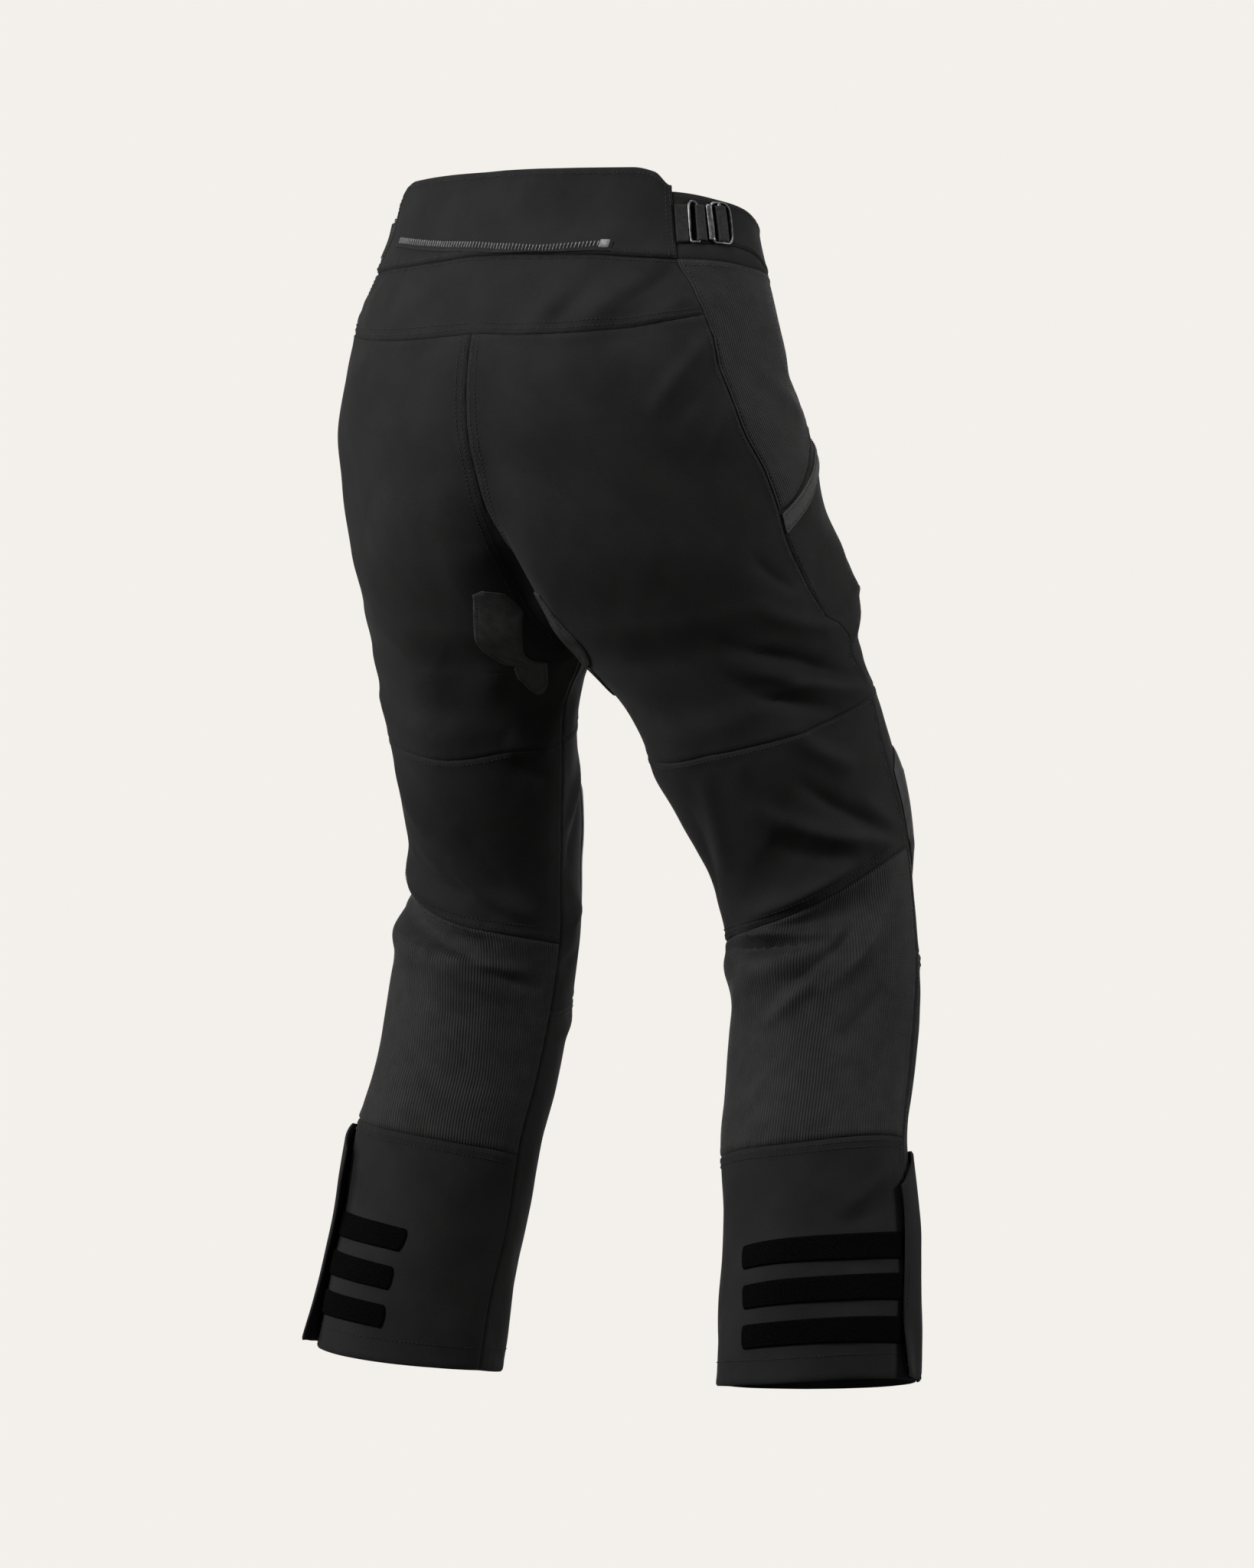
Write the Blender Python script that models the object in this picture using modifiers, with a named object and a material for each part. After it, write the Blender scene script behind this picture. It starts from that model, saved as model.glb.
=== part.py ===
"""Motorcycle trousers, filled out as worn, with one named object for each cut piece.

The cloth is one surface worked out from a table of sections. Each section is an oval round one leg,
cut off at the middle plane above the crotch, so both halves meet along the centre seams. Panels are
parts of a grid on that surface, and what is sewn on a panel is cut from the same grid and moved out.
All lengths in the tables are millimetres. +Z is up, the front faces -Y, and the wearer's left is +X.
"""

import math
from collections import namedtuple

import bpy
import numpy as np

MM = 0.001

# Driving dimensions
CLOTH = 2.0
BAND_CLOTH = 4.0
BAND_PROUD = 2.0
SEAM_GAP = 0.3
LIFT = 0.4
PATCH_CLOTH = 1.5
PILE = 2.0
WEBBING = 1.5
WEBBING_WIDTH = 31.0
BUCKLE_METAL = 2.0
STRIP_HEIGHT = 19.0
STRIP_LENGTH = 165.0
ZIP_LEFT = 122.0
ZIP_RIGHT = 104.0
ZIP_LOWEST = 50.0
POCKET_TAPE = 16.0
SNAP_DIAMETER = 14.0
SNAP_HEIGHT = 2.5

# One row for each section, from the waist down the leg. drop is the depth of its middle below the
# waist, out and back place that middle, half is half its width, fore and aft are its depths in front
# and behind, pitch, roll and turn tilt it, round_fore and round_aft are 1 on an oval and less on a
# squarer one, and sweep carries its outer side forward.
Section = namedtuple(
    "Section", "drop out back half fore aft pitch roll turn round_fore round_aft sweep"
)
SECTIONS = [
    Section(-80, 0, 0, 158, 104, 104, 0, 0, 0, 1.00, 1.00, 0),
    Section(-40, 0, 0, 160, 105, 107, 0, 0, 0, 1.00, 1.00, 0),
    Section(0, 0, 0, 165, 107, 114, 0, 0, 0, 1.00, 0.98, 0),
    Section(40, 0, 2, 175, 110, 131, 0, 0, 0, 1.00, 0.92, 0),
    Section(80, 0, 4, 185, 116, 150, 0, 0, 0, 1.00, 0.86, 0),
    Section(120, 0, 4, 193, 122, 161, 0, 0, 0, 1.00, 0.86, 0),
    Section(160, 5, 2, 198, 134, 166, 2, 0, 0, 0.98, 0.90, 2),
    Section(200, 22, -2, 185, 144, 161, 6, 0, 0, 0.95, 0.95, 6),
    Section(250, 52, -4, 157, 146, 144, 12, 0, 0, 0.92, 1.00, 8),
    Section(300, 86, -6, 130, 144, 112, 18, 2, 0, 0.88, 1.08, 18),
    Section(334, 108, -16, 113, 142, 92, 22, 4, 0, 0.90, 1.15, 20),
    Section(360, 121, -34, 99, 132, 91, 26, 6, 4, 0.92, 1.10, 16),
    Section(383, 130, -50, 88, 118, 92, 27, 8, 8, 1.00, 1.00, 4),
    Section(447, 144, -83, 80, 104, 91, 28, 9, 16, 1.00, 1.00, 0),
    Section(530, 158, -117, 74, 92, 85, 18, 9, 18, 1.00, 1.00, 0),
    Section(574, 163, -123, 76, 84, 82, 8, 8, 18, 1.00, 1.00, 0),
    Section(638, 171, -116, 79, 80, 79, -4, 7, 18, 1.00, 1.00, 0),
    Section(702, 176, -102, 78, 79, 78, -8, 6, 18, 1.00, 1.00, 0),
    Section(766, 182, -81, 78, 80, 78, -8, 6, 18, 1.00, 1.00, 0),
    Section(830, 189, -74, 78, 81, 80, -8, 6, 18, 1.00, 1.00, 0),
    Section(893, 197, -60, 78, 86, 84, -8, 6, 18, 1.00, 1.00, 0),
    Section(980, 204, -46, 78, 88, 86, -8, 6, 18, 1.00, 1.00, 0),
]
CROTCH_DROP = 334.0

# How far the inseam turns to the back of the leg, in degrees, at each drop
InseamTurn = namedtuple("InseamTurn", "drop turn")
INSEAM = [InseamTurn(334, 0), InseamTurn(383, -9), InseamTurn(447, -18), InseamTurn(560, -24), InseamTurn(980, -23)]

# Seams round the body. Each row gives the share of the way round, from 0 at the centre front or
# inseam over 0.5 at the outer side to 1 at the centre back or inseam, and the drop there.
Around = namedtuple("Around", "share drop")
LEVELS = {
    "front_top": [Around(0, 14), Around(0.25, 8), Around(0.42, -2), Around(0.55, -12), Around(0.7, -19), Around(1, -19)],
    "back_top": [Around(0, -24), Around(0.7, -24), Around(0.73, -35), Around(0.77, -39), Around(1, -40)],
    "belt": [Around(0, 54), Around(0.25, 49), Around(0.42, 37), Around(0.5, 27), Around(0.58, 24), Around(1, 23)],
    "top": [Around(0, 58), Around(0.25, 53), Around(0.42, 42), Around(0.6, 38), Around(0.7, 36), Around(1, 31)],
    "yoke": [Around(0, 100), Around(0.25, 90), Around(0.5, 74), Around(0.64, 83), Around(0.75, 92), Around(0.9, 99),
             Around(1, 97)],
    "pocket": [Around(0, 170), Around(0.25, 165), Around(0.36, 165), Around(0.43, 193), Around(0.555, 236),
               Around(0.75, 240), Around(1, 236)],
    "crotch": [Around(0, 334), Around(0.25, 326), Around(0.5, 318), Around(0.75, 326), Around(1, 334)],
    "thigh": [Around(0, 410), Around(0.25, 428), Around(0.42, 422), Around(0.59, 408), Around(0.75, 398),
              Around(0.9, 400), Around(1, 410)],
    "knee": [Around(0, 588), Around(0.25, 552), Around(0.5, 535), Around(0.75, 560), Around(1, 588)],
    "calf": [Around(0, 771), Around(0.25, 768), Around(0.5, 759), Around(0.75, 768), Around(1, 771)],
    "hem": [Around(0, 954), Around(0.25, 954), Around(0.5, 955), Around(0.75, 960), Around(1, 954)],
}

# Seams down the body, as the share of the way round at each drop
Down = namedtuple("Down", "drop share")
SIDE_SEAM = [Down(-60, 0.70), Down(36, 0.69), Down(60, 0.66), Down(90, 0.633), Down(132, 0.615), Down(172, 0.603),
             Down(206, 0.573), Down(236, 0.55), Down(288, 0.53), Down(384, 0.465), Down(424, 0.45), Down(560, 0.47),
             Down(764, 0.49), Down(980, 0.49)]
HIP_FRONT = [Down(-60, 0.36), Down(170, 0.36), Down(300, 0.30), Down(420, 0.26), Down(980, 0.27)]

# The grid: columns from the centre front to the hip panel, to the side seam and to the centre back
FRONT_COLUMNS = 8
HIP_COLUMNS = 5
BACK_COLUMNS = 10
COL_HIP = FRONT_COLUMNS
COL_SIDE = FRONT_COLUMNS + HIP_COLUMNS
COL_BACK = COL_SIDE + BACK_COLUMNS

# Rows of the grid between two levels, and how strongly they crowd towards the lower one
Stretch = namedtuple("Stretch", "upper lower rows crowding")
BODY_ROWS = [
    Stretch("belt", "top", 1, 1.0),
    Stretch("top", "yoke", 3, 1.0),
    Stretch("yoke", "pocket", 6, 1.0),
    Stretch("pocket", "crotch", 5, 1.5),
    Stretch("crotch", "thigh", 3, 1.0),
    Stretch("thigh", "knee", 7, 1.0),
    Stretch("knee", "calf", 9, 1.0),
    Stretch("calf", "hem", 8, 1.0),
]
KNEE_PANEL_ROWS = 3

# The flaps over the strips, as millimetres behind the side seam and drop. The left one is closed
# further round the leg than the right one.
FLAP_OUTLINES = {
    "L": [(-46, 766), (46, 768), (80, 790), (80, 970), (-46, 970)],
    "R": [(-46, 766), (-26, 768), (15, 800), (15, 970), (-46, 970)],
}

# Folds die out this near the centre seams and the inseam, so that the pieces meet there
SEAM_FADE = 20.0

# The largest folds. Each runs between two points given as millimetres behind the side seam and
# drop, is so wide, and rises (or falls, if negative) so much. side is L, R or B for both.
Fold = namedtuple("Fold", "side from_side from_drop to_side to_drop width rise")
FOLDS = [
    Fold("B", 40, 545, 190, 598, 16, -7),
    Fold("B", 60, 520, 200, 560, 16, 5),
    Fold("B", 60, 585, 220, 632, 20, 6),
    Fold("R", 20, 350, 150, 400, 18, -5),
    Fold("R", 40, 455, 200, 520, 22, -5),
    Fold("R", 180, 395, 290, 425, 24, 7),
    Fold("L", 170, 330, 270, 420, 22, -5),
    Fold("R", 20, 60, 120, 120, 18, -4),
    Fold("R", 200, 590, 250, 620, 18, 6),
    Fold("L", 40, 585, 130, 610, 22, 5),
]


def curve_through(x, rows, column):
    """Monotone cubic through one column of a table, against its first column."""
    xs = np.array([r[0] for r in rows], float)
    ys = np.array([r[column] for r in rows], float)
    x = np.asarray(x, float)
    gaps = np.diff(xs)
    slopes = np.diff(ys) / gaps
    tangent = np.zeros_like(ys)
    tangent[0], tangent[-1] = slopes[0], slopes[-1]
    before, after = slopes[:-1], slopes[1:]
    same = before * after > 0
    w1 = 2 * gaps[1:] + gaps[:-1]
    w2 = gaps[1:] + 2 * gaps[:-1]
    safe_before = np.where(same, before, 1.0)
    safe_after = np.where(same, after, 1.0)
    tangent[1:-1] = np.where(same, (w1 + w2) / (w1 / safe_before + w2 / safe_after), 0.0)
    i = np.clip(np.searchsorted(xs, x) - 1, 0, len(xs) - 2)
    t = np.clip((x - xs[i]) / gaps[i], 0.0, 1.0)
    ends = ys[i] * (1 + 2 * t) * (1 - t) ** 2 + ys[i + 1] * t * t * (3 - 2 * t)
    return ends + gaps[i] * (tangent[i] * t * (1 - t) ** 2 - tangent[i + 1] * t * t * (1 - t))


def cloth_point(share, drop):
    """Point of the left half's surface, share of the way round its section at a drop."""
    names = Section._fields
    s = {n: curve_through(drop, SECTIONS, names.index(n)) for n in names[1:]}
    pitch, roll, turn = (np.radians(s[n]) for n in ("pitch", "roll", "turn"))
    shared = np.clip(s["out"] / (s["half"] * np.cos(roll)), 0, 1)
    start = np.arccos(shared ** (1 / s["round_fore"]))
    end = np.arccos(shared ** (1 / s["round_aft"]))
    ahead = start + (np.pi - start) * 2 * share
    behind = np.pi + (np.pi - end) * (2 * share - 1)
    angle = np.where(share < 0.5, ahead, behind) + np.radians(curve_through(drop, INSEAM, 1))
    across, along = np.cos(angle), np.sin(angle)
    power = np.where(along > 0, s["round_fore"], s["round_aft"])
    across = np.sign(across) * np.abs(across) ** power
    along = np.sign(along) * np.abs(along) ** power
    zero = 0 * pitch
    outward = np.stack([np.cos(roll), zero, np.sin(roll)], -1)
    rearward = np.stack([zero, np.cos(pitch), -np.sin(pitch)], -1)
    cos_turn, sin_turn = np.cos(turn)[..., None], np.sin(turn)[..., None]
    side_axis = outward * cos_turn + rearward * sin_turn
    back_axis = rearward * cos_turn - outward * sin_turn
    depth = np.where(along > 0, -s["fore"] * along, -s["aft"] * along)
    middle = np.stack([s["out"], s["back"] - s["sweep"] * (1 - across) / 2, zero - drop], -1)
    return middle + side_axis * (-s["half"] * across)[..., None] + back_axis * depth[..., None]


def fold_height(side, from_side, drop):
    """Rise of the cloth from all folds of one side, smooth across and fading at both ends."""
    rise = np.zeros_like(drop)
    for f in FOLDS:
        if f.side not in (side, "B"):
            continue
        run = np.array([f.to_side - f.from_side, f.to_drop - f.from_drop], float)
        length = np.hypot(*run)
        along = ((from_side - f.from_side) * run[0] + (drop - f.from_drop) * run[1]) / length
        beside = ((drop - f.from_drop) * run[0] - (from_side - f.from_side) * run[1]) / length
        fade = np.clip(along / length, 0, 1) * np.clip(1 - along / length, 0, 1) * 4
        rise += f.rise * fade * np.exp(-((beside / f.width) ** 2))
    return rise


def column_shares(drop):
    """Share of the way round of every grid column at the drops of one row."""
    side = curve_through(drop, SIDE_SEAM, 1)
    hip = curve_through(drop, HIP_FRONT, 1)
    col = np.arange(COL_BACK + 1)
    front = hip * np.clip(col / COL_HIP, 0, 1)
    middle = (side - hip) * np.clip((col - COL_HIP) / HIP_COLUMNS, 0, 1)
    back = (1 - side) * np.clip((col - COL_SIDE) / BACK_COLUMNS, 0, 1)
    return front + middle + back


class Grid:
    """Points, outward directions and cloth coordinates of one half garment between levels."""

    def __init__(self, stretches, side):
        rows = []
        for k, s in enumerate(stretches):
            steps = np.arange(s.rows + 1) / s.rows
            steps = 1 - (1 - steps) ** s.crowding
            rows += [(s, f) for f in steps[(k > 0):]]
        share = np.zeros((len(rows), COL_BACK + 1))
        drop = np.zeros_like(share)
        for i, (s, f) in enumerate(rows):
            here = column_shares(np.zeros(COL_BACK + 1))
            for _ in range(4):
                upper = curve_through(here, LEVELS[s.upper], 1)
                lower = curve_through(here, LEVELS[s.lower], 1)
                drop[i] = upper + (lower - upper) * f
                here = column_shares(drop[i])
            share[i] = here
        self.side = side
        self.share, self.drop = share, drop
        self.point = cloth_point(share, drop)
        self.normal = self.directions()
        steps = np.linalg.norm(np.diff(self.point, axis=1), axis=2)
        walk = np.concatenate([np.zeros((len(rows), 1)), np.cumsum(steps, axis=1)], axis=1)
        self.from_side = walk - walk[:, COL_SIDE:COL_SIDE + 1]
        self.from_front = walk
        self.from_back = walk[:, -1:] - walk
        rise = fold_height(side, self.from_side, drop)
        rise *= np.clip(np.minimum(self.from_front, self.from_back) / SEAM_FADE, 0, 1)
        self.point = self.point + self.normal * rise[..., None]
        if side == "R":
            self.point = self.point * (-1, 1, 1)
            self.normal = self.normal * (-1, 1, 1)

    def is_leg(self):
        """Rows whose section is closed round the leg."""
        return self.drop[:, 0] > CROTCH_DROP + 0.5

    def directions(self):
        """Outward unit direction at each point, from its neighbours on the smooth surface."""
        step_share, step_drop = 0.004, 2.0
        leg = np.broadcast_to(self.is_leg()[:, None], self.share.shape)
        low, high = self.share - step_share, self.share + step_share
        low = np.where(leg, np.where(low < 0, low + 1, low), np.maximum(low, 0))
        high = np.where(leg, np.where(high > 1, high - 1, high), np.minimum(high, 1))
        round_it = cloth_point(high, self.drop) - cloth_point(low, self.drop)
        down = cloth_point(self.share, self.drop + step_drop) - cloth_point(self.share, self.drop - step_drop)
        normal = np.cross(down, round_it)
        centre = ~leg & ((self.share < 1e-6) | (self.share > 1 - 1e-6))
        normal[centre, 0] = 0
        return normal / np.linalg.norm(normal, axis=-1, keepdims=True)

    def row(self, stretches, level):
        """Index of the grid row that follows a level."""
        index = 0
        for s in stretches:
            if s.upper == level:
                return index
            index += s.rows
        return index

    def triangles(self, rows, columns, measure="from_side"):
        """Triangles of a block of cells, each corner as point, direction and cloth coordinates."""
        across = getattr(self, measure)
        sign = -1 if self.side == "R" and measure != "from_side" else 1
        out = []
        for i in range(*rows):
            for j in range(*columns):
                corners = [(i, j), (i + 1, j), (i + 1, j + 1), (i, j + 1)]
                quad = [(self.point[c], self.normal[c], np.array([sign * across[c], self.drop[c]])) for c in corners]
                for tri in ([quad[0], quad[1], quad[2]], [quad[0], quad[2], quad[3]]):
                    out.append(tri[::-1] if self.side == "R" else tri)
        return out


def clip(polygons, outline):
    """The parts of polygons inside a convex outline given in cloth coordinates."""
    outline = [np.array(p, float) for p in outline]
    area = sum(a[0] * b[1] - b[0] * a[1] for a, b in zip(outline, outline[1:] + outline[:1]))
    if area < 0:
        outline = outline[::-1]
    for a, b in zip(outline, outline[1:] + outline[:1]):
        inward = np.array([a[1] - b[1], b[0] - a[0]])
        kept = []
        for polygon in polygons:
            heights = [float(np.dot(c[2] - a, inward)) for c in polygon]
            new = []
            for k, corner in enumerate(polygon):
                following = polygon[(k + 1) % len(polygon)]
                h0, h1 = heights[k], heights[(k + 1) % len(polygon)]
                if h0 >= 0:
                    new.append(corner)
                if (h0 > 0 > h1) or (h0 < 0 < h1):
                    t = h0 / (h0 - h1)
                    new.append(tuple(p + (q - p) * t for p, q in zip(corner, following)))
            if len(new) > 2:
                kept.append(new)
        polygons = kept
    return polygons


def merged(polygons):
    """Shared corners of polygons: points, mean directions, coordinates and index lists."""
    index, points, normals, coords, faces = {}, [], [], [], []
    for polygon in polygons:
        face = []
        for point, normal, coord in polygon:
            key = tuple(np.round(point * 1000).astype(int))
            if key not in index:
                index[key] = len(points)
                points.append(point)
                normals.append(np.zeros(3))
                coords.append(coord)
            face.append(index[key])
            normals[index[key]] = normals[index[key]] + normal
        face = [v for k, v in enumerate(face) if v != face[k - 1]]
        if len(face) > 2:
            faces.append(face)
    normals = np.array(normals)
    normals /= np.linalg.norm(normals, axis=1, keepdims=True)
    return np.array(points), normals, np.array(coords), faces


def rim_edges(faces):
    """Directed edges that belong to one face only."""
    edges = {(a, b) for f in faces for a, b in zip(f, f[1:] + f[:1])}
    return [e for e in edges if (e[1], e[0]) not in edges]


def wall(polygons, inner, outer, inset=SEAM_GAP / 2):
    """A closed wall over polygons, between two heights above them, its rim drawn in by inset.

    inner and outer are heights in millimetres, or functions of the cloth coordinates.
    """
    points, normals, coords, faces = merged(polygons)
    edges = rim_edges(faces)
    heights = points[:, 2].copy()
    inward = {}
    for a, b in edges:
        for v in (a, b):
            side = np.cross(normals[v], points[b] - points[a])
            inward.setdefault(v, []).append(side / np.linalg.norm(side))
    for v, sides in inward.items():
        total = sum(sides)
        share = 1 + float(np.dot(sides[0], sides[-1])) if len(sides) > 1 else 1.0
        points[v] = points[v] + total * inset / max(share, 0.5)
    low = np.array([inner(c) if callable(inner) else inner for c in coords])[:, None]
    high = np.array([outer(c) if callable(outer) else outer for c in coords])[:, None]
    count = len(points)
    vertices = np.concatenate([points + normals * high, points + normals * low]) * MM
    solid = [list(f) for f in faces] + [[v + count for v in f[::-1]] for f in faces]
    for a, b in sorted(edges):
        if heights[a] < heights[b]:
            solid += [[b, a, b + count], [a, a + count, b + count]]
        else:
            solid += [[b, a, a + count], [b, a + count, b + count]]
    return vertices, solid


def material(name, colour, roughness, metallic=0.0):
    """A plain finish; colour is linear RGB."""
    mat = bpy.data.materials.new(name)
    mat.use_nodes = True
    shader = mat.node_tree.nodes["Principled BSDF"]
    shader.inputs["Base Color"].default_value = (*colour, 1)
    shader.inputs["Roughness"].default_value = roughness
    shader.inputs["Metallic"].default_value = metallic
    return mat


def add_object(name, vertices, faces, mat, collection, smooth=True):
    """A named object from vertices in metres and faces."""
    mesh = bpy.data.meshes.new(name)
    mesh.from_pydata([tuple(v) for v in vertices], [], faces)
    mesh.update()
    if smooth:
        mesh.shade_smooth()
        mesh.set_sharp_from_angle(angle=math.radians(40))
    mesh.materials.append(mat)
    obj = bpy.data.objects.new(name, mesh)
    collection.objects.link(obj)
    return obj


def clear_scene():
    for obj in list(bpy.data.objects):
        bpy.data.objects.remove(obj, do_unlink=True)


def lattice(xs, ys, holes):
    """Rectangles between grid lines, without the cells named in holes as (column, row)."""
    cells = []
    for i in range(len(xs) - 1):
        for j in range(len(ys) - 1):
            if (i, j) not in holes:
                cells.append([(xs[i], ys[j]), (xs[i + 1], ys[j]), (xs[i + 1], ys[j + 1]), (xs[i], ys[j + 1])])
    return cells


def panels(mats, collection):
    """The cut pieces of the body and legs."""
    sides = {"L": "left", "R": "right"}
    body = {s: Grid(BODY_ROWS, s) for s in sides}
    one = body["L"]
    at = {name: one.row(BODY_ROWS, name) for name in ("belt", "top", "yoke", "pocket", "crotch", "thigh", "knee",
                                                      "calf", "hem")}
    shin = at["knee"] + KNEE_PANEL_ROWS
    front, hips, rear = (0, COL_HIP), (COL_HIP, COL_SIDE), (COL_SIDE, COL_BACK)
    ahead = (0, COL_SIDE)
    pieces = {
        "side_strip": ("plain", [((at["belt"], at["top"]), hips)]),
        "front_panel": ("plain", [((at["belt"], at["pocket"]), front), ((at["pocket"], at["thigh"]), ahead)]),
        "hip_panel": ("stretch", [((at["top"], at["pocket"]), hips)]),
        "seat_panel": ("plain", [((at["yoke"], at["thigh"]), rear)]),
        "thigh_back": ("plain", [((at["thigh"], at["knee"]), rear)]),
        "calf_back": ("stretch", [((at["knee"], at["calf"]), rear)]),
        "hem_back": ("plain", [((at["calf"], at["hem"]), rear)]),
        "knee_panel": ("plain", [((at["thigh"], shin), ahead)]),
        "shin_panel": ("plain", [((shin, at["hem"]), ahead)]),
    }
    for piece, (mat, blocks) in pieces.items():
        for s, word in sides.items():
            cells = sum((body[s].triangles(r, c) for r, c in blocks), [])
            add_object(f"{piece}_{word}", *wall(cells, -CLOTH, 0), mats[mat], collection)
    yoke = sum((body[s].triangles((at["top"], at["yoke"]), rear) for s in sides), [])
    add_object("back_yoke", *wall(yoke, -CLOTH, 0), mats["plain"], collection)
    return body, at


def sewn_on_body(body, at, mats, collection):
    """Patches, tapes, strips and flaps cut from the body's grid."""
    last = at["hem"]
    for s, word in (("L", "left"), ("R", "right")):
        grid = body[s]
        back_cells = grid.triangles((at["pocket"], at["thigh"]), (COL_SIDE, COL_BACK), "from_back")
        if s == "R":
            back_cells = [[(p, n, c * (-1, 1)) for p, n, c in tri] for tri in back_cells]
        upper = [(34, 274), (5, 274), (3, 290), (32, 322), (58, 316)]
        lower = [(58, 316), (32, 322), (20, 359), (28, 365), (39, 362)]
        patch = clip(back_cells, upper) + clip(back_cells, lower)
        add_object(f"inner_patch_{word}", *wall(patch, LIFT, LIFT + PATCH_CLOTH), mats["patch"], collection)

        below_pocket = grid.triangles((at["pocket"], at["crotch"]), (0, COL_SIDE))
        near = [(-2, 238), (-83, 203), (-84, 203 + POCKET_TAPE), (-3, 238 + POCKET_TAPE)]
        far = [(-83, 203), (-150, 172), (-151, 172 + POCKET_TAPE), (-84, 203 + POCKET_TAPE)]
        tape = clip(below_pocket, near) + clip(below_pocket, far)
        add_object(f"pocket_tape_{word}", *wall(tape, LIFT, LIFT + 1.2), mats["tape"], collection)

        knee = grid.triangles((at["thigh"], at["knee"] + KNEE_PANEL_ROWS), (0, COL_SIDE))
        outline = [(-8, 478), (-8, 530), (-60, 582), (-120, 596), (-176, 586), (-178, 472)]
        patch = clip(knee, outline)
        add_object(f"knee_patch_{word}", *wall(patch, LIFT, LIFT + PATCH_CLOTH), mats["patch"], collection)

        lower_leg = grid.triangles((at["calf"] - 1, last), (0, COL_BACK))
        for k, (outer_end, inner_end) in enumerate(((836, 848), (869, 880), (904, 912)), 1):
            outline = [(0, outer_end), (STRIP_LENGTH, inner_end), (STRIP_LENGTH, inner_end + STRIP_HEIGHT),
                       (0, outer_end + STRIP_HEIGHT + 3)]
            strip = clip(lower_leg, outline)
            add_object(f"hook_strip_{k}_{word}", *wall(strip, LIFT, LIFT + PILE), mats["pile"], collection)

        flap = clip(lower_leg, FLAP_OUTLINES[s])

        def stand_off(coord):
            over_strips = (PILE + LIFT) * float(np.clip((coord[0] + 46) / 30, 0, 1))
            return LIFT + over_strips + 3.0 * float(np.clip((coord[0] - 15) / 65, 0, 1))

        add_object(f"hem_flap_{word}", *wall(flap, stand_off, lambda c: stand_off(c) + CLOTH), mats["plain"], collection)

    fly = clip(body["L"].triangles((at["belt"], at["pocket"] + 3), (0, COL_HIP), "from_front"),
               [(0.5, 60), (38, 60), (38, 190), (22, 214), (0.5, 222)])
    add_object("fly_placket", *wall(fly, LIFT, LIFT + PATCH_CLOTH), mats["plain"], collection)


def waistband(mats, collection):
    """Back and front bands, closing tab and snap, connecting zip tape and side adjusters."""
    back_rows = [Stretch("back_top", "top", 4, 1.0)]
    front_rows = [Stretch("front_top", "belt", 3, 1.0)]
    back = {s: Grid(back_rows, s) for s in "LR"}
    front = {s: Grid(front_rows, s) for s in "LR"}
    cells = sum((back[s].triangles((0, 4), (COL_SIDE, COL_BACK), "from_back") for s in "LR"), [])
    proud = BAND_PROUD
    add_object("back_waistband", *wall(cells, proud - BAND_CLOTH, proud), mats["plain"], collection)
    # The zip sags: it runs from the left end down to its lowest place and up again to the right end
    tape = clip(cells, [(ZIP_LEFT, 8), (ZIP_LEFT, 16), (0, 29.5), (0, 21)])
    tape += clip(cells, [(0, 21), (0, 29.5), (-ZIP_LOWEST, 32), (-ZIP_LOWEST, 25)])
    tape += clip(cells, [(-ZIP_LOWEST, 25), (-ZIP_LOWEST, 32), (-ZIP_RIGHT, 32), (-ZIP_RIGHT, 22)])
    add_object("zip_tape", *wall(tape, proud + LIFT, proud + LIFT + 1.2), mats["tape"], collection)
    box = clip(cells, [(-ZIP_RIGHT + 2, 22), (-ZIP_RIGHT + 9, 22), (-ZIP_RIGHT + 9, 29), (-ZIP_RIGHT + 2, 29)])
    above = proud + LIFT + 1.2 + SEAM_GAP
    add_object("zip_end_box", *wall(box, above, above + 2.2), mats["zip"], collection)

    closing = []
    for s, word in (("L", "left"), ("R", "right")):
        band = front[s].triangles((0, 3), (0, COL_SIDE))
        add_object(f"front_waistband_{word}", *wall(band, -CLOTH, 0.5), mats["plain"], collection)
        closing += front[s].triangles((0, 3), (0, COL_HIP), "from_front")
        adjuster(band, word, mats, collection)
    tab = clip(closing, [(24, 20), (24, 48), (-22, 48), (-34, 42), (-34, 26), (-22, 20)])
    top = 0.5 + LIFT + CLOTH
    add_object("waist_tab", *wall(tab, 0.5 + LIFT, top), mats["plain"], collection)
    snap(closing, top, mats, collection)


def adjuster(band, word, mats, collection):
    """Webbing from under the back band through a ladder ring and a wide metal buckle."""
    top, bottom = -8.0, -8.0 + WEBBING_WIDTH
    base = 0.5 + LIFT
    over = base + BUCKLE_METAL + SEAM_GAP
    spans = {
        "strap_end": (-10.5, -1.0, base),
        "strap_middle": (-26.0, -17.0, over),
        "strap_front": (-47.0, -35.5, over),
    }
    for name, (x0, x1, low) in spans.items():
        piece = clip(band, [(x0, top), (x1, top), (x1, bottom), (x0, bottom)])
        add_object(f"{name}_{word}", *wall(piece, low, low + WEBBING, 0.0), mats["webbing"], collection)
    ys = [top - 4, top - 2, bottom + 0.5, bottom + 2.5]
    ladder = lattice([-21, -19, -13.5, -11.8], ys, {(1, 1)})
    buckle = lattice([-52, -50, -42.5, -39.5, -33, -28], ys, {(1, 1), (3, 1)})
    for name, cells in (("ladder_ring", ladder), ("wide_buckle", buckle)):
        metal = sum((clip(band, c) for c in cells), [])
        add_object(f"{name}_{word}", *wall(metal, base, base + BUCKLE_METAL, 0.0), mats["metal"], collection)


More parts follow.
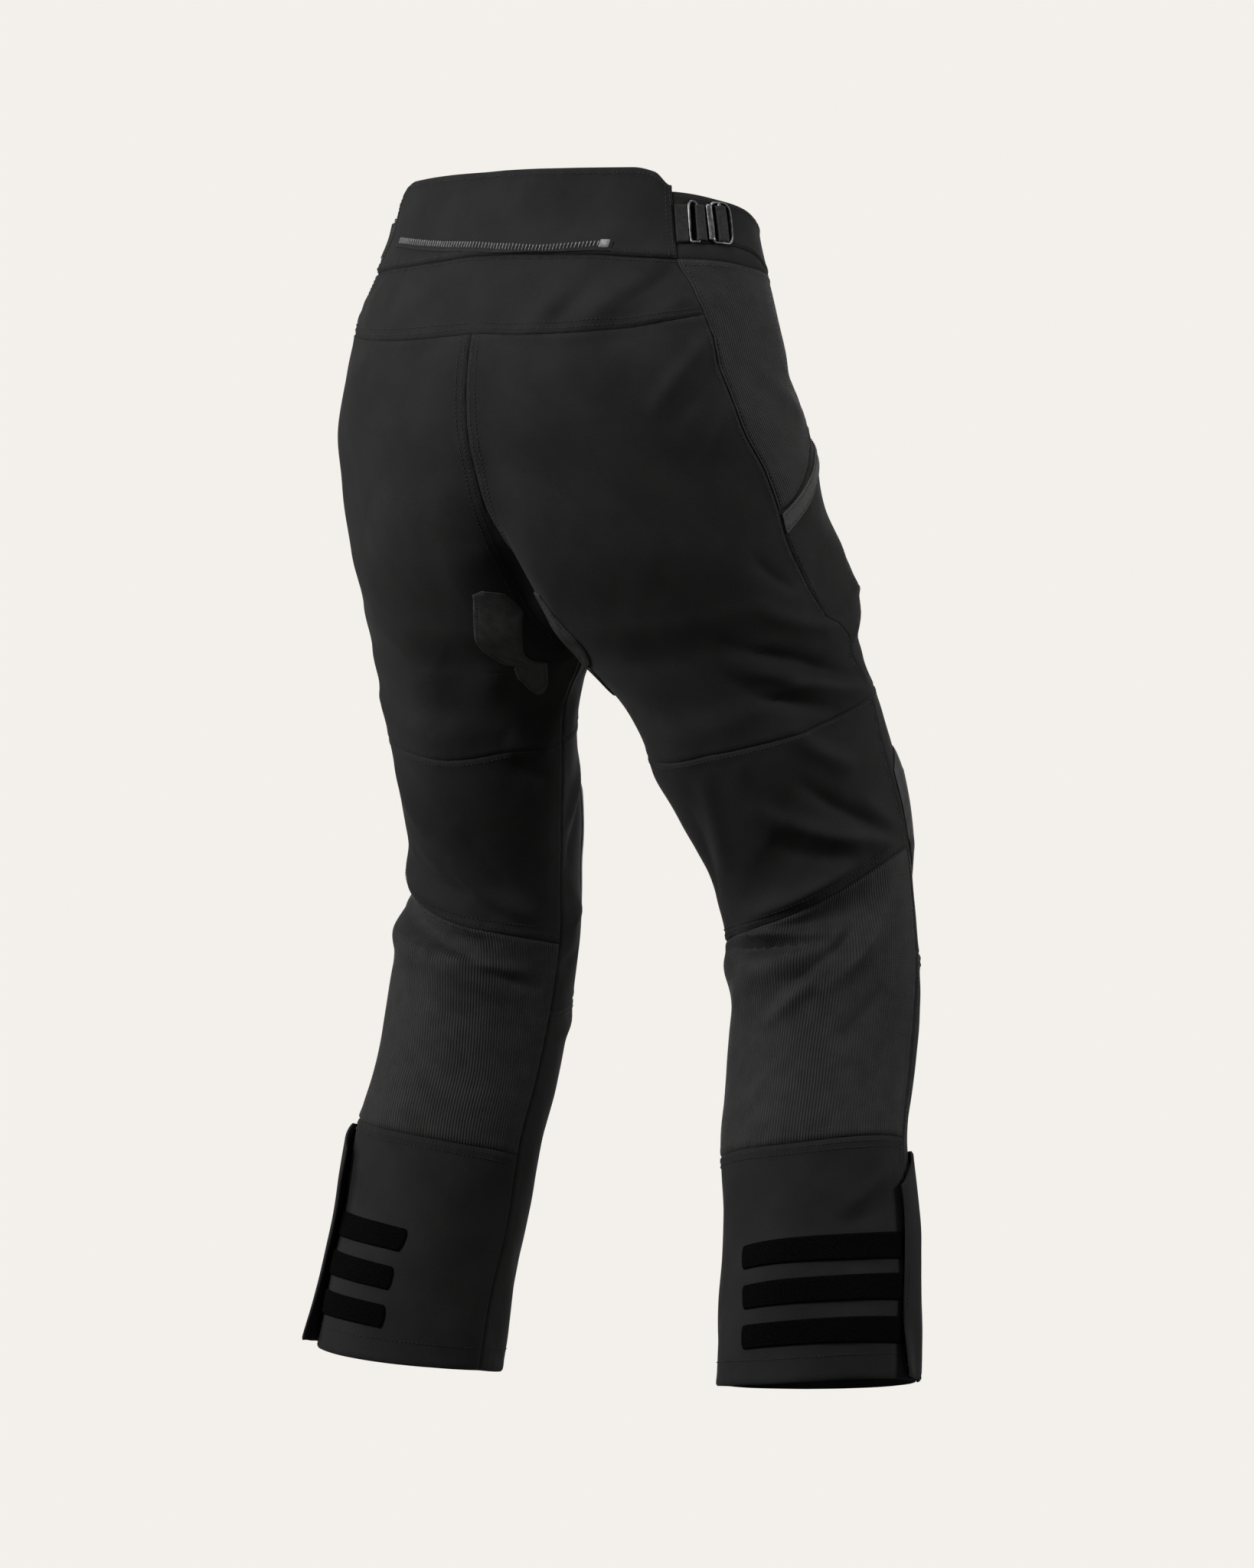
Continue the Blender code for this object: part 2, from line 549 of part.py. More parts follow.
def snap(cells, height, mats, collection):
    """A round snap cap standing on the closing tab."""
    point, normal, _ = min((c for tri in cells for c in tri), key=lambda c: abs(c[2][0] + 20) + abs(c[2][1] - 34))
    bpy.ops.mesh.primitive_cylinder_add(vertices=24, radius=SNAP_DIAMETER / 2 * MM, depth=SNAP_HEIGHT * MM)
    obj = bpy.context.object
    obj.name = obj.data.name = "waist_snap"
    direction = np.array([normal[0], normal[1], 0])
    direction /= np.linalg.norm(direction)
    centre = point + direction * (height + 2 * SEAM_GAP + SNAP_HEIGHT / 2)
    obj.location = tuple(centre * MM)
    obj.rotation_euler = (math.pi / 2, 0, math.atan2(direction[1], direction[0]) + math.pi / 2)
    bevel = obj.modifiers.new("Bevel", "BEVEL")
    bevel.width = 0.6 * MM
    bevel.segments = 2
    obj.data.materials.append(mats["metal"])
    for old in list(obj.users_collection):
        old.objects.unlink(obj)
    collection.objects.link(obj)


def main():
    clear_scene()
    collection = bpy.data.collections.new("motorcycle_trousers")
    bpy.context.scene.collection.children.link(collection)
    mats = {
        "plain": material("black stretch cloth", (0.018, 0.018, 0.019), 0.85),
        "stretch": material("ribbed stretch mesh", (0.022, 0.022, 0.023), 0.9),
        "patch": material("smooth reinforcing cloth", (0.024, 0.024, 0.025), 0.7),
        "tape": material("woven tape", (0.05, 0.05, 0.052), 0.8),
        "pile": material("hook and loop pile", (0.004, 0.004, 0.004), 0.95),
        "webbing": material("woven webbing", (0.012, 0.012, 0.013), 0.85),
        "metal": material("gunmetal plated steel", (0.2, 0.2, 0.21), 0.35, 1.0),
        "zip": material("moulded zip teeth", (0.12, 0.12, 0.125), 0.5),
    }
    body, at = panels(mats, collection)
    sewn_on_body(body, at, mats, collection)
    waistband(mats, collection)


main()
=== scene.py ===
"""Motorcycle trousers: sewn cloth, stitching, hook strips, zip, webbing and buckles.

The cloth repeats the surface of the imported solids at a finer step, with creases and seams laid over it.
All tables are in millimetres; meshes are made in metres. +Z is up, the front faces -Y and the wearer's
left is +X.
"""

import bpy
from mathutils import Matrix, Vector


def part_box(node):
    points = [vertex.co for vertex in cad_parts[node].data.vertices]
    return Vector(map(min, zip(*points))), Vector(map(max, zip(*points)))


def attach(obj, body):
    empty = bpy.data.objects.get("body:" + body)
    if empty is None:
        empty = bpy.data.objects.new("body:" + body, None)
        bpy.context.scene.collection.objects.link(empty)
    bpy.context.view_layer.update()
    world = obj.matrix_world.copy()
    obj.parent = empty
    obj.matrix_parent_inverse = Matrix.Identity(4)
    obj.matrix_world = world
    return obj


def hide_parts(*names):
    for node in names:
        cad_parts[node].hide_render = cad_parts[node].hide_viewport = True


bl_info = {
    "name": "Motorcycle trousers",
    "version": (1, 0, 0),
    "blender": (4, 5, 0),
    "location": "View3D > Sidebar > Trousers",
    "description": "Builds the cloth, sewing and fastenings of a pair of riding trousers",
    "category": "Object",
}

import math
from collections import namedtuple

import bpy
import numpy as np

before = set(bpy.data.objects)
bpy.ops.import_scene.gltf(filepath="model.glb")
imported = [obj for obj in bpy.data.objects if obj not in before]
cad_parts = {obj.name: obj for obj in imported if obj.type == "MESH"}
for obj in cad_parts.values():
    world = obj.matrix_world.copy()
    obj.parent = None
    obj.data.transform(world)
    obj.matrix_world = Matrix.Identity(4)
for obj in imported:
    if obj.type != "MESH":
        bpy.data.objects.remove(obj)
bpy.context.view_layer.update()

MM = 0.001
SIDES = {"L": "left", "R": "right"}
UP = np.array([0, 0, 1.0])
SHARP_ANGLE = math.radians(50)
FAR_FROM_EDGE = 60.0

# Sizes of the cut, in millimetres
CLOTH = 1.7
INNER_SLACK = 0.3
SEAM_GAP = 0.15
BAND_PROUD = 2.0
BAND_CLOTH = 4.0
BAND_DIP = 1.4
FRONT_BAND_PROUD = 0.5
FRONT_BAND_CLOTH = 2.2
LIFT = 0.4
STITCH_LIFT = 0.3
PATCH_CLOTH = 1.5
TAPE_CLOTH = 1.2
PILE = 2.0
STRIP_HEIGHT = 19.0
STRIP_LENGTH = 165.0
POCKET_TAPE = 16.0
ZIP_LEFT = 122.0
ZIP_RIGHT = 104.0
TOOTH_PITCH = 3.0
WEBBING = 1.5
WEBBING_WIDTH = 31.0
WEBBING_TOP = -8.0
BUCKLE_METAL = 2.0

# Sections of one half, from the waist down the leg
Section = namedtuple(
    "Section", "drop out back half fore aft pitch roll turn round_fore round_aft sweep"
)
SECTIONS = [
    Section(-80, 0, 0, 158, 104, 104, 0, 0, 0, 1.00, 1.00, 0),
    Section(-40, 0, 0, 160, 105, 107, 0, 0, 0, 1.00, 1.00, 0),
    Section(0, 0, 0, 165, 107, 114, 0, 0, 0, 1.00, 0.98, 0),
    Section(40, 0, 2, 175, 110, 131, 0, 0, 0, 1.00, 0.92, 0),
    Section(80, 0, 4, 185, 116, 150, 0, 0, 0, 1.00, 0.86, 0),
    Section(120, 0, 4, 193, 122, 161, 0, 0, 0, 1.00, 0.86, 0),
    Section(160, 5, 2, 198, 134, 166, 2, 0, 0, 0.98, 0.90, 2),
    Section(200, 22, -2, 185, 144, 161, 6, 0, 0, 0.95, 0.95, 6),
    Section(250, 52, -4, 157, 146, 144, 12, 0, 0, 0.92, 1.00, 8),
    Section(300, 86, -6, 130, 144, 112, 18, 2, 0, 0.88, 1.08, 18),
    Section(334, 108, -16, 113, 142, 92, 22, 4, 0, 0.90, 1.15, 20),
    Section(360, 121, -34, 99, 132, 91, 26, 6, 4, 0.92, 1.10, 16),
    Section(383, 130, -50, 88, 118, 92, 27, 8, 8, 1.00, 1.00, 4),
    Section(447, 144, -83, 80, 104, 91, 28, 9, 16, 1.00, 1.00, 0),
    Section(530, 158, -117, 74, 92, 85, 18, 9, 18, 1.00, 1.00, 0),
    Section(574, 163, -123, 76, 84, 82, 8, 8, 18, 1.00, 1.00, 0),
    Section(638, 171, -116, 79, 80, 79, -4, 7, 18, 1.00, 1.00, 0),
    Section(702, 176, -102, 78, 79, 78, -8, 6, 18, 1.00, 1.00, 0),
    Section(766, 182, -81, 78, 80, 78, -8, 6, 18, 1.00, 1.00, 0),
    Section(830, 189, -74, 78, 81, 80, -8, 6, 18, 1.00, 1.00, 0),
    Section(893, 197, -60, 78, 86, 84, -8, 6, 18, 1.00, 1.00, 0),
    Section(980, 204, -46, 78, 88, 86, -8, 6, 18, 1.00, 1.00, 0),
]
CROTCH_DROP = 334.0

InseamTurn = namedtuple("InseamTurn", "drop turn")
INSEAM = [InseamTurn(334, 0), InseamTurn(383, -9), InseamTurn(447, -18), InseamTurn(560, -24),
          InseamTurn(980, -23)]

# Seams round the body: share of the way round, 0 at the front, 0.5 at the outer side, 1 at the back
Around = namedtuple("Around", "share drop")
LEVELS = {
    "front_top": [Around(0, 14), Around(0.25, 8), Around(0.42, -2), Around(0.55, -12), Around(0.7, -19),
                  Around(1, -19)],
    "back_top": [Around(0, -24), Around(0.7, -24), Around(0.73, -35), Around(0.77, -39), Around(1, -40)],
    "belt": [Around(0, 54), Around(0.25, 49), Around(0.42, 37), Around(0.5, 27), Around(0.58, 24),
             Around(1, 23)],
    "top": [Around(0, 58), Around(0.25, 53), Around(0.42, 42), Around(0.6, 38), Around(0.7, 36),
            Around(1, 31)],
    "yoke": [Around(0, 100), Around(0.25, 90), Around(0.5, 74), Around(0.64, 83), Around(0.75, 92),
             Around(0.9, 99), Around(1, 97)],
    "pocket": [Around(0, 170), Around(0.25, 165), Around(0.36, 165), Around(0.43, 193), Around(0.555, 236),
               Around(0.75, 240), Around(1, 236)],
    "crotch": [Around(0, 334), Around(0.25, 326), Around(0.5, 318), Around(0.75, 326), Around(1, 334)],
    "thigh": [Around(0, 410), Around(0.25, 428), Around(0.42, 422), Around(0.59, 408), Around(0.75, 398),
              Around(0.9, 400), Around(1, 410)],
    "knee": [Around(0, 588), Around(0.25, 552), Around(0.5, 535), Around(0.75, 560), Around(1, 588)],
    "shin": [Around(0, 649), Around(0.25, 624), Around(0.5, 610), Around(0.75, 629), Around(1, 649)],
    "calf": [Around(0, 771), Around(0.25, 768), Around(0.5, 759), Around(0.75, 768), Around(1, 771)],
    "hem": [Around(0, 954), Around(0.25, 954), Around(0.5, 955), Around(0.75, 960), Around(1, 954)],
}

Down = namedtuple("Down", "drop share")
SIDE_SEAM = [Down(-60, 0.70), Down(36, 0.69), Down(60, 0.66), Down(90, 0.633), Down(132, 0.615),
             Down(172, 0.603), Down(206, 0.573), Down(236, 0.55), Down(288, 0.53), Down(384, 0.465),
             Down(424, 0.45), Down(560, 0.47), Down(764, 0.49), Down(980, 0.49)]
HIP_FRONT = [Down(-60, 0.36), Down(170, 0.36), Down(300, 0.30), Down(420, 0.26), Down(980, 0.27)]

# Fine steps of the grid: how long each stretch is and how many steps it gets
Run = namedtuple("Run", "length steps")
FRONT_RUN = Run(170, 46)
HIP_RUN = Run(110, 32)
BACK_RUN = Run(280, 84)
Stretch = namedtuple("Stretch", "upper lower length steps")
BODY_ROWS = [
    Stretch("belt", "top", 12, 3),
    Stretch("top", "yoke", 58, 18),
    Stretch("yoke", "pocket", 130, 42),
    Stretch("pocket", "crotch", 110, 38),
    Stretch("crotch", "thigh", 80, 26),
    Stretch("thigh", "knee", 160, 54),
    Stretch("knee", "shin", 62, 22),
    Stretch("shin", "calf", 135, 40),
    Stretch("calf", "hem", 180, 50),
]
BACK_BAND_ROWS = [Stretch("back_top", "top", 72, 26)]
FRONT_BAND_ROWS = [Stretch("front_top", "belt", 40, 16)]

# Creases. Each runs between two points given as millimetres behind the side seam and drop, is so
# wide and rises (or falls) so much; bend bows its middle downwards. side is L, R or B for both.
Crease = namedtuple("Crease", "side from_side from_drop to_side to_drop width rise bend")
LARGE_FOLDS = [
    Crease("B", 40, 545, 190, 598, 16, -7, 0),
    Crease("B", 60, 520, 200, 560, 16, 5, 0),
    Crease("B", 60, 585, 220, 632, 20, 6, 0),
    Crease("R", 20, 350, 150, 400, 18, -5, 0),
    Crease("R", 40, 455, 200, 520, 22, -1.5, 0),
    Crease("R", 180, 395, 290, 425, 24, 7, 0),
    Crease("L", 170, 330, 270, 420, 22, -5, 0),
    Crease("R", 20, 60, 120, 120, 18, -4, 0),
    Crease("R", 200, 590, 250, 620, 18, 6, 0),
    Crease("L", 40, 585, 130, 610, 22, 5, 0),
]
CREASES = [
    Crease("R", 96, 322, 4, 404, 7, -4.2, 4),
    Crease("R", 112, 342, -4, 416, 8, 3.6, 4),
    Crease("R", 126, 348, 42, 412, 7, -4.4, 5),
    Crease("R", 60, 300, -6, 352, 9, 1.8, 3),
    Crease("R", 104, 402, 48, 456, 8, 3.2, 4),
    Crease("R", 112, 436, 14, 524, 7, -4.0, 8),
    Crease("R", 154, 440, 14, 526, 8, 4.0, 13),
    Crease("R", 146, 476, 62, 526, 9, -3.4, 6),
    Crease("R", 150, 414, 124, 462, 8, -2.0, 3),
    Crease("R", 178, 560, 36, 526, 6, -3.0, 1),
    Crease("R", 168, 546, 60, 522, 8, 2.0, 3),
    Crease("R", 200, 569, 84, 583, 6, 3.0, 1),
    Crease("R", 222, 584, 100, 592, 5, -4.0, 2),
    Crease("R", 134, 636, 70, 572, 7, -4.0, 3),
    Crease("R", 110, 646, 44, 572, 8, 3.2, 5),
    Crease("R", 156, 668, 96, 604, 8, 3.0, 6),
    Crease("R", 94, 690, 48, 636, 9, -1.8, 4),
    Crease("R", 70, 836, 14, 792, 7, -1.8, 3),
    Crease("R", 82, 826, 24, 784, 8, 1.6, 3),
    Crease("R", 78, 164, -6, 94, 6, 2.6, 0),
    Crease("R", 66, 174, -6, 116, 6, -1.8, 1),
    Crease("R", 50, 196, 0, 150, 6, 1.5, 2),
    Crease("R", 74, 78, -4, 40, 6, -2.6, 0),
    Crease("R", 104, 92, 32, 52, 7, 2.4, 0),
    Crease("R", 132, 92, 70, 50, 7, -1.9, 0),
    Crease("R", 156, 98, 96, 58, 8, 1.5, 1),
    Crease("R", 60, 92, 6, 66, 6, 1.6, 1),
    Crease("R", 130, 92, 70, 50, 8, -1.0, 2),
    Crease("R", 40, 264, 14, 302, 7, -1.8, 2),
    Crease("R", 186, 406, 196, 500, 9, 2.4, 2),
    Crease("R", 212, 430, 216, 530, 8, -1.8, 2),
    Crease("R", 90, 104, 34, 88, 9, -1.1, 1),
    Crease("L", 222, 320, 284, 384, 9, -2.8, 5),
    Crease("L", 240, 326, 306, 388, 8, -2.2, 4),
    Crease("L", 254, 386, 300, 412, 9, 2.6, 3),
    Crease("L", 256, 404, 290, 434, 7, -2.4, 3),
    Crease("L", 198, 452, 242, 548, 10, -2.4, 6),
    Crease("L", 172, 490, 246, 560, 9, 2.4, 6),
    Crease("L", 124, 494, 192, 528, 9, -1.8, 4),
    Crease("L", 116, 416, 162, 466, 12, 1.8, 4),
    Crease("L", 152, 600, 236, 614, 7, 2.2, 4),
    Crease("L", 140, 584, 200, 608, 6, -2.4, 3),
    Crease("L", 176, 610, 256, 628, 7, -2.2, 4),
    Crease("L", 128, 556, 212, 572, 7, 1.8, 3),
    Crease("L", 120, 640, 184, 668, 10, -1.6, 4),
    Crease("L", 60, 575, 20, 552, 8, 2.0, 2),
    Crease("L", 200, 220, 262, 246, 10, -0.9, 4),
    Crease("L", 90, 110, 30, 84, 9, -1.1, 1),
    Crease("L", 70, 360, 10, 402, 9, -2.4, 4),
    Crease("L", 80, 376, 20, 420, 9, 2.0, 4),
    Crease("L", 80, 92, 30, 46, 8, 1.1, 2),
    Crease("L", 60, 820, 16, 790, 8, 1.4, 2),
    Crease("B", 60, 476, 6, 520, 8, 1.6, 3),
    Crease("B", -126, 268, -232, 318, 9, -2.6, 8),
    Crease("B", -120, 286, -240, 338, 9, 2.4, 8),
    Crease("B", -90, 292, -200, 372, 10, -2.0, 8),
    Crease("B", -60, 312, -150, 392, 10, 2.0, 6),
    Crease("B", -20, 400, -110, 424, 8, -1.8, 3),
    Crease("B", -190, 452, -250, 490, 9, 2.0, 4),
    Crease("B", -196, 478, -262, 532, 8, -2.2, 4),
    Crease("B", -200, 560, -268, 574, 8, 2.0, 3),
    Crease("B", -200, 596, -272, 612, 8, -2.2, 3),
    Crease("B", -20, 610, -84, 636, 8, 1.6, 3),
    Crease("B", -30, 640, -120, 664, 9, -1.6, 4),
    Crease("B", -150, 640, -232, 668, 9, 1.6, 4),
    Crease("B", -60, 716, -150, 748, 11, -1.4, 5),
    Crease("B", -60, 860, -140, 886, 12, 1.4, 4),
    Crease("B", 110, 840, 190, 880, 14, 1.1, 4),
    Crease("B", -150, 96, -100, 132, 9, -1.2, 2),
    Crease("B", -40, 120, -96, 160, 9, 1.1, 2),
    Crease("B", -190, 140, -230, 190, 9, 1.1, 2),
]
# Slow swells of the cloth: how long they are across and down, their height and their phase
Swell = namedtuple("Swell", "across down height phase")
SWELLS = [
    Swell(150, 210, 0.7, 0.4), Swell(-110, 150, 0.4, 2.1), Swell(95, -110, 0.22, 4.0),
    Swell(56, 70, 0.08, 1.2), Swell(-38, 47, 0.05, 5.1), Swell(26, -31, 0.03, 3.3),
]
SEAM_FADE = 20.0

# The seat's centre seam sinks between both halves: how deep at each drop, and how far to each side
Sink = namedtuple("Sink", "drop depth")
CLEFT = [Sink(180, 0), Sink(215, 8), Sink(245, 20), Sink(272, 27), Sink(296, 22), Sink(316, 10), Sink(334, 0),
         Sink(400, 0)]
CLEFT_WIDTH = 46.0

# The reinforcing patch on the inner thigh: its edges as millimetres from the centre back at each drop
Edge = namedtuple("Edge", "drop near far")
INNER_PATCH = [Edge(276, 27, 35), Edge(279, 22, 36), Edge(285, 13, 40), Edge(294, 9, 46), Edge(302, 8, 52),
               Edge(310, 18, 59), Edge(316, 25, 62), Edge(323, 33, 64), Edge(329, 38, 66), Edge(337, 44, 72),
               Edge(346, 40, 65), Edge(355, 36, 53), Edge(360, 36.5, 45), Edge(362, 38, 41)]

# The zip sags: the drops of its tape's edges at places left (positive) and right of the centre back
Sag = namedtuple("Sag", "place top bottom")
ZIP_SAG = [Sag(-ZIP_RIGHT, 24, 32.5), Sag(-50, 26.5, 32.5), Sag(0, 23, 30.5), Sag(ZIP_LEFT, 9.5, 17.5)]

# The hem's strips: the drops of a top edge at its outer and its inner end
STRIP_DROPS = [(836, 848), (869, 880), (904, 912)]
STRIP_TAPER = 3.0
PILE_ROUGH = 0.16

# Edges of pieces: places behind the side seam, or from the centre front for the fly, and their drops
FLAP_TOPS = {"L": ([-46, 46, 80], [766, 768, 790]), "R": ([-46, -26, 15], [766, 768, 800])}
FLAP_BOTTOM = ([0], [954])
FLAP_COLUMNS = {"L": 60, "R": 34}
FLAP_FREE = 18.0
TAPE_TOP = ([-150, -83, -2], [172, 203, 238])
KNEE_PATCH_TOP = ([-178, -160, -30, -8], [482, 473, 474, 482])
KNEE_PATCH_BOTTOM = ([-178, -150, -120, -60, -30, -8], [576, 592, 596, 582, 556, 530])
FLY_TOP = ([0.5, 38], [60, 60])
FLY_BOTTOM = ([0.5, 22, 38], [222, 214, 190])

# The closing tab and its snap, from the centre front
TAB_LEFT = 24.0
TAB_RIGHT = 34.0
TAB_ROUND_FROM = 22.0
TAB_DROP = 34.0
SNAP_PLACE = 20.0
SNAP_PROFILE = [(0.01, 1.0), (2.0, 0.95), (4.2, 0.75), (4.8, 0.55), (5.2, 0.75), (6.2, 0.9), (6.8, 0.6),
                (7.0, 0.0), (6.8, -0.9), (6.2, -1.2), (0.01, -1.2)]

# The side adjusters, by places behind the side seam: stretches of webbing, with their height over the
# band and how far their ends rise over their middle, then the metal
Strap = namedtuple("Strap", "name start end height sag")
OVER_BAND = FRONT_BAND_PROUD + LIFT
OVER_METAL = OVER_BAND + BUCKLE_METAL + 0.3
STRAPS = [
    Strap("strap_end", -11.2, -0.8, OVER_BAND, 0.5),
    Strap("strap_middle", -26.2, -17.8, OVER_METAL, -1.1),
    Strap("strap_front", -46.4, -36.6, OVER_METAL, -1.3),
]
# Where the webbing's lower layer lies; it is coloured near black as painted shade between the bars
UNDER_LAYER = (-50.0, -12.0)
LADDER_RING = (-20.2, -12.4)
WIDE_BUCKLE = (-51.0, -30.2)
BUCKLE_BAR = -41.0
BUCKLE_PLATE = -30.6
BAR_SIDES = 10
CORNER_ROUNDS = 10

# A tooth of the zip: how far down each of its rings lies and how wide it is to each side
TOOTH_ROWS = [(0.0, 0.4), (0.6, 0.66), (1.6, 0.62), (2.6, 0.42), (3.6, 0.46), (4.8, 0.48), (5.5, 0.3)]
TOOTH_HALF_HIGH = 0.95

# The seam where two pieces meet: how deep it dips, how wide, and the turned edges beside it
SEAM_DIP = 0.95
SEAM_DIP_WIDTH = 1.3
SEAM_EDGE_RISE = 0.35
SEAM_EDGE_WIDTH = 7.0
PUCKER = 0.22
PUCKER_LENGTH = 11.0
PUCKER_REACH = 8.0


def linear(code):
    """Linear RGB and alpha of an sRGB hex colour."""
    values = [int(code[i:i + 2], 16) / 255 for i in (1, 3, 5)]
    return (*(v / 12.92 if v <= 0.04045 else ((v + 0.055) / 1.055) ** 2.4 for v in values), 1.0)


def curve_through(x, rows, column):
    """Monotone cubic through one column of a table, against its first column."""
    xs = np.array([r[0] for r in rows], float)
    ys = np.array([r[column] for r in rows], float)
    x = np.asarray(x, float)
    gaps = np.diff(xs)
    slopes = np.diff(ys) / gaps
    tangent = np.zeros_like(ys)
    tangent[0], tangent[-1] = slopes[0], slopes[-1]
    before, after = slopes[:-1], slopes[1:]
    same = before * after > 0
    w1 = 2 * gaps[1:] + gaps[:-1]
    w2 = gaps[1:] + 2 * gaps[:-1]
    safe_before = np.where(same, before, 1.0)
    safe_after = np.where(same, after, 1.0)
    tangent[1:-1] = np.where(same, (w1 + w2) / (w1 / safe_before + w2 / safe_after), 0.0)
    i = np.clip(np.searchsorted(xs, x) - 1, 0, len(xs) - 2)
    t = np.clip((x - xs[i]) / gaps[i], 0.0, 1.0)
    ends = ys[i] * (1 + 2 * t) * (1 - t) ** 2 + ys[i + 1] * t * t * (3 - 2 * t)
    return ends + gaps[i] * (tangent[i] * t * (1 - t) ** 2 - tangent[i + 1] * t * t * (1 - t))


def cloth_point(share, drop):
    """Point of the left half: an oval with its own depth before and behind, with pitch, roll and turn."""
    names = Section._fields
    s = {n: curve_through(drop, SECTIONS, names.index(n)) for n in names[1:]}
    pitch, roll, turn = (np.radians(s[n]) for n in ("pitch", "roll", "turn"))
    shared = np.clip(s["out"] / (s["half"] * np.cos(roll)), 0, 1)
    start = np.arccos(shared ** (1 / s["round_fore"]))
    end = np.arccos(shared ** (1 / s["round_aft"]))
    ahead = start + (np.pi - start) * 2 * share
    behind = np.pi + (np.pi - end) * (2 * share - 1)
    angle = np.where(share < 0.5, ahead, behind) + np.radians(curve_through(drop, INSEAM, 1))
    across, along = np.cos(angle), np.sin(angle)
    power = np.where(along > 0, s["round_fore"], s["round_aft"])
    across = np.sign(across) * np.abs(across) ** power
    along = np.sign(along) * np.abs(along) ** power
    zero = 0 * pitch
    outward = np.stack([np.cos(roll), zero, np.sin(roll)], -1)
    rearward = np.stack([zero, np.cos(pitch), -np.sin(pitch)], -1)
    cos_turn, sin_turn = np.cos(turn)[..., None], np.sin(turn)[..., None]
    side_axis = outward * cos_turn + rearward * sin_turn
    back_axis = rearward * cos_turn - outward * sin_turn
    depth = np.where(along > 0, -s["fore"] * along, -s["aft"] * along)
    middle = np.stack([s["out"], s["back"] - s["sweep"] * (1 - across) / 2, zero - drop], -1)
    return middle + side_axis * (-s["half"] * across)[..., None] + back_axis * depth[..., None]


def crease_height(table, side, from_side, drop):
    """Rise from all creases of a side: a bell across each, sharper in a trough, faded along and bowed."""
    rise = np.zeros_like(drop)
    for f in table:
        if f.side not in (side, "B"):
            continue
        run = np.array([f.to_side - f.from_side, f.to_drop - f.from_drop], float)
        length = np.hypot(*run)
        t = ((from_side - f.from_side) * run[0] + (drop - f.from_drop) * run[1]) / length ** 2
        beside = ((drop - f.from_drop) * run[0] - (from_side - f.from_side) * run[1]) / length
        fade = np.clip(t, 0, 1) * np.clip(1 - t, 0, 1) * 4
        beside = beside - f.bend * np.sign(run[0]) * fade
        power = 1.5 if f.rise < 0 and table is CREASES else 2.0
        rise += f.rise * fade ** 0.8 * np.exp(-(np.abs(beside) / f.width) ** power)
    return rise


def swell_height(side, from_side, drop):
    """Slow unevenness: a sum of sines across and down the cloth, other phases on the other side."""
    turn = 0.0 if side == "L" else 1.7
    total = np.zeros_like(drop)
    for s in SWELLS:
        total += s.height * np.sin(2 * np.pi * (from_side / s.across + drop / s.down) + s.phase + turn)
    return total


def seam_steps(run):
    """Fractions from 0 to 1 in even steps, with two more close to both ends where a seam dips."""
    near = np.array([0.0, 0.8, 2.0]) / run.length
    inner = np.linspace(near[-1], 1 - near[-1], run.steps)[1:-1]
    return np.concatenate([near, inner, 1 - near[::-1]])


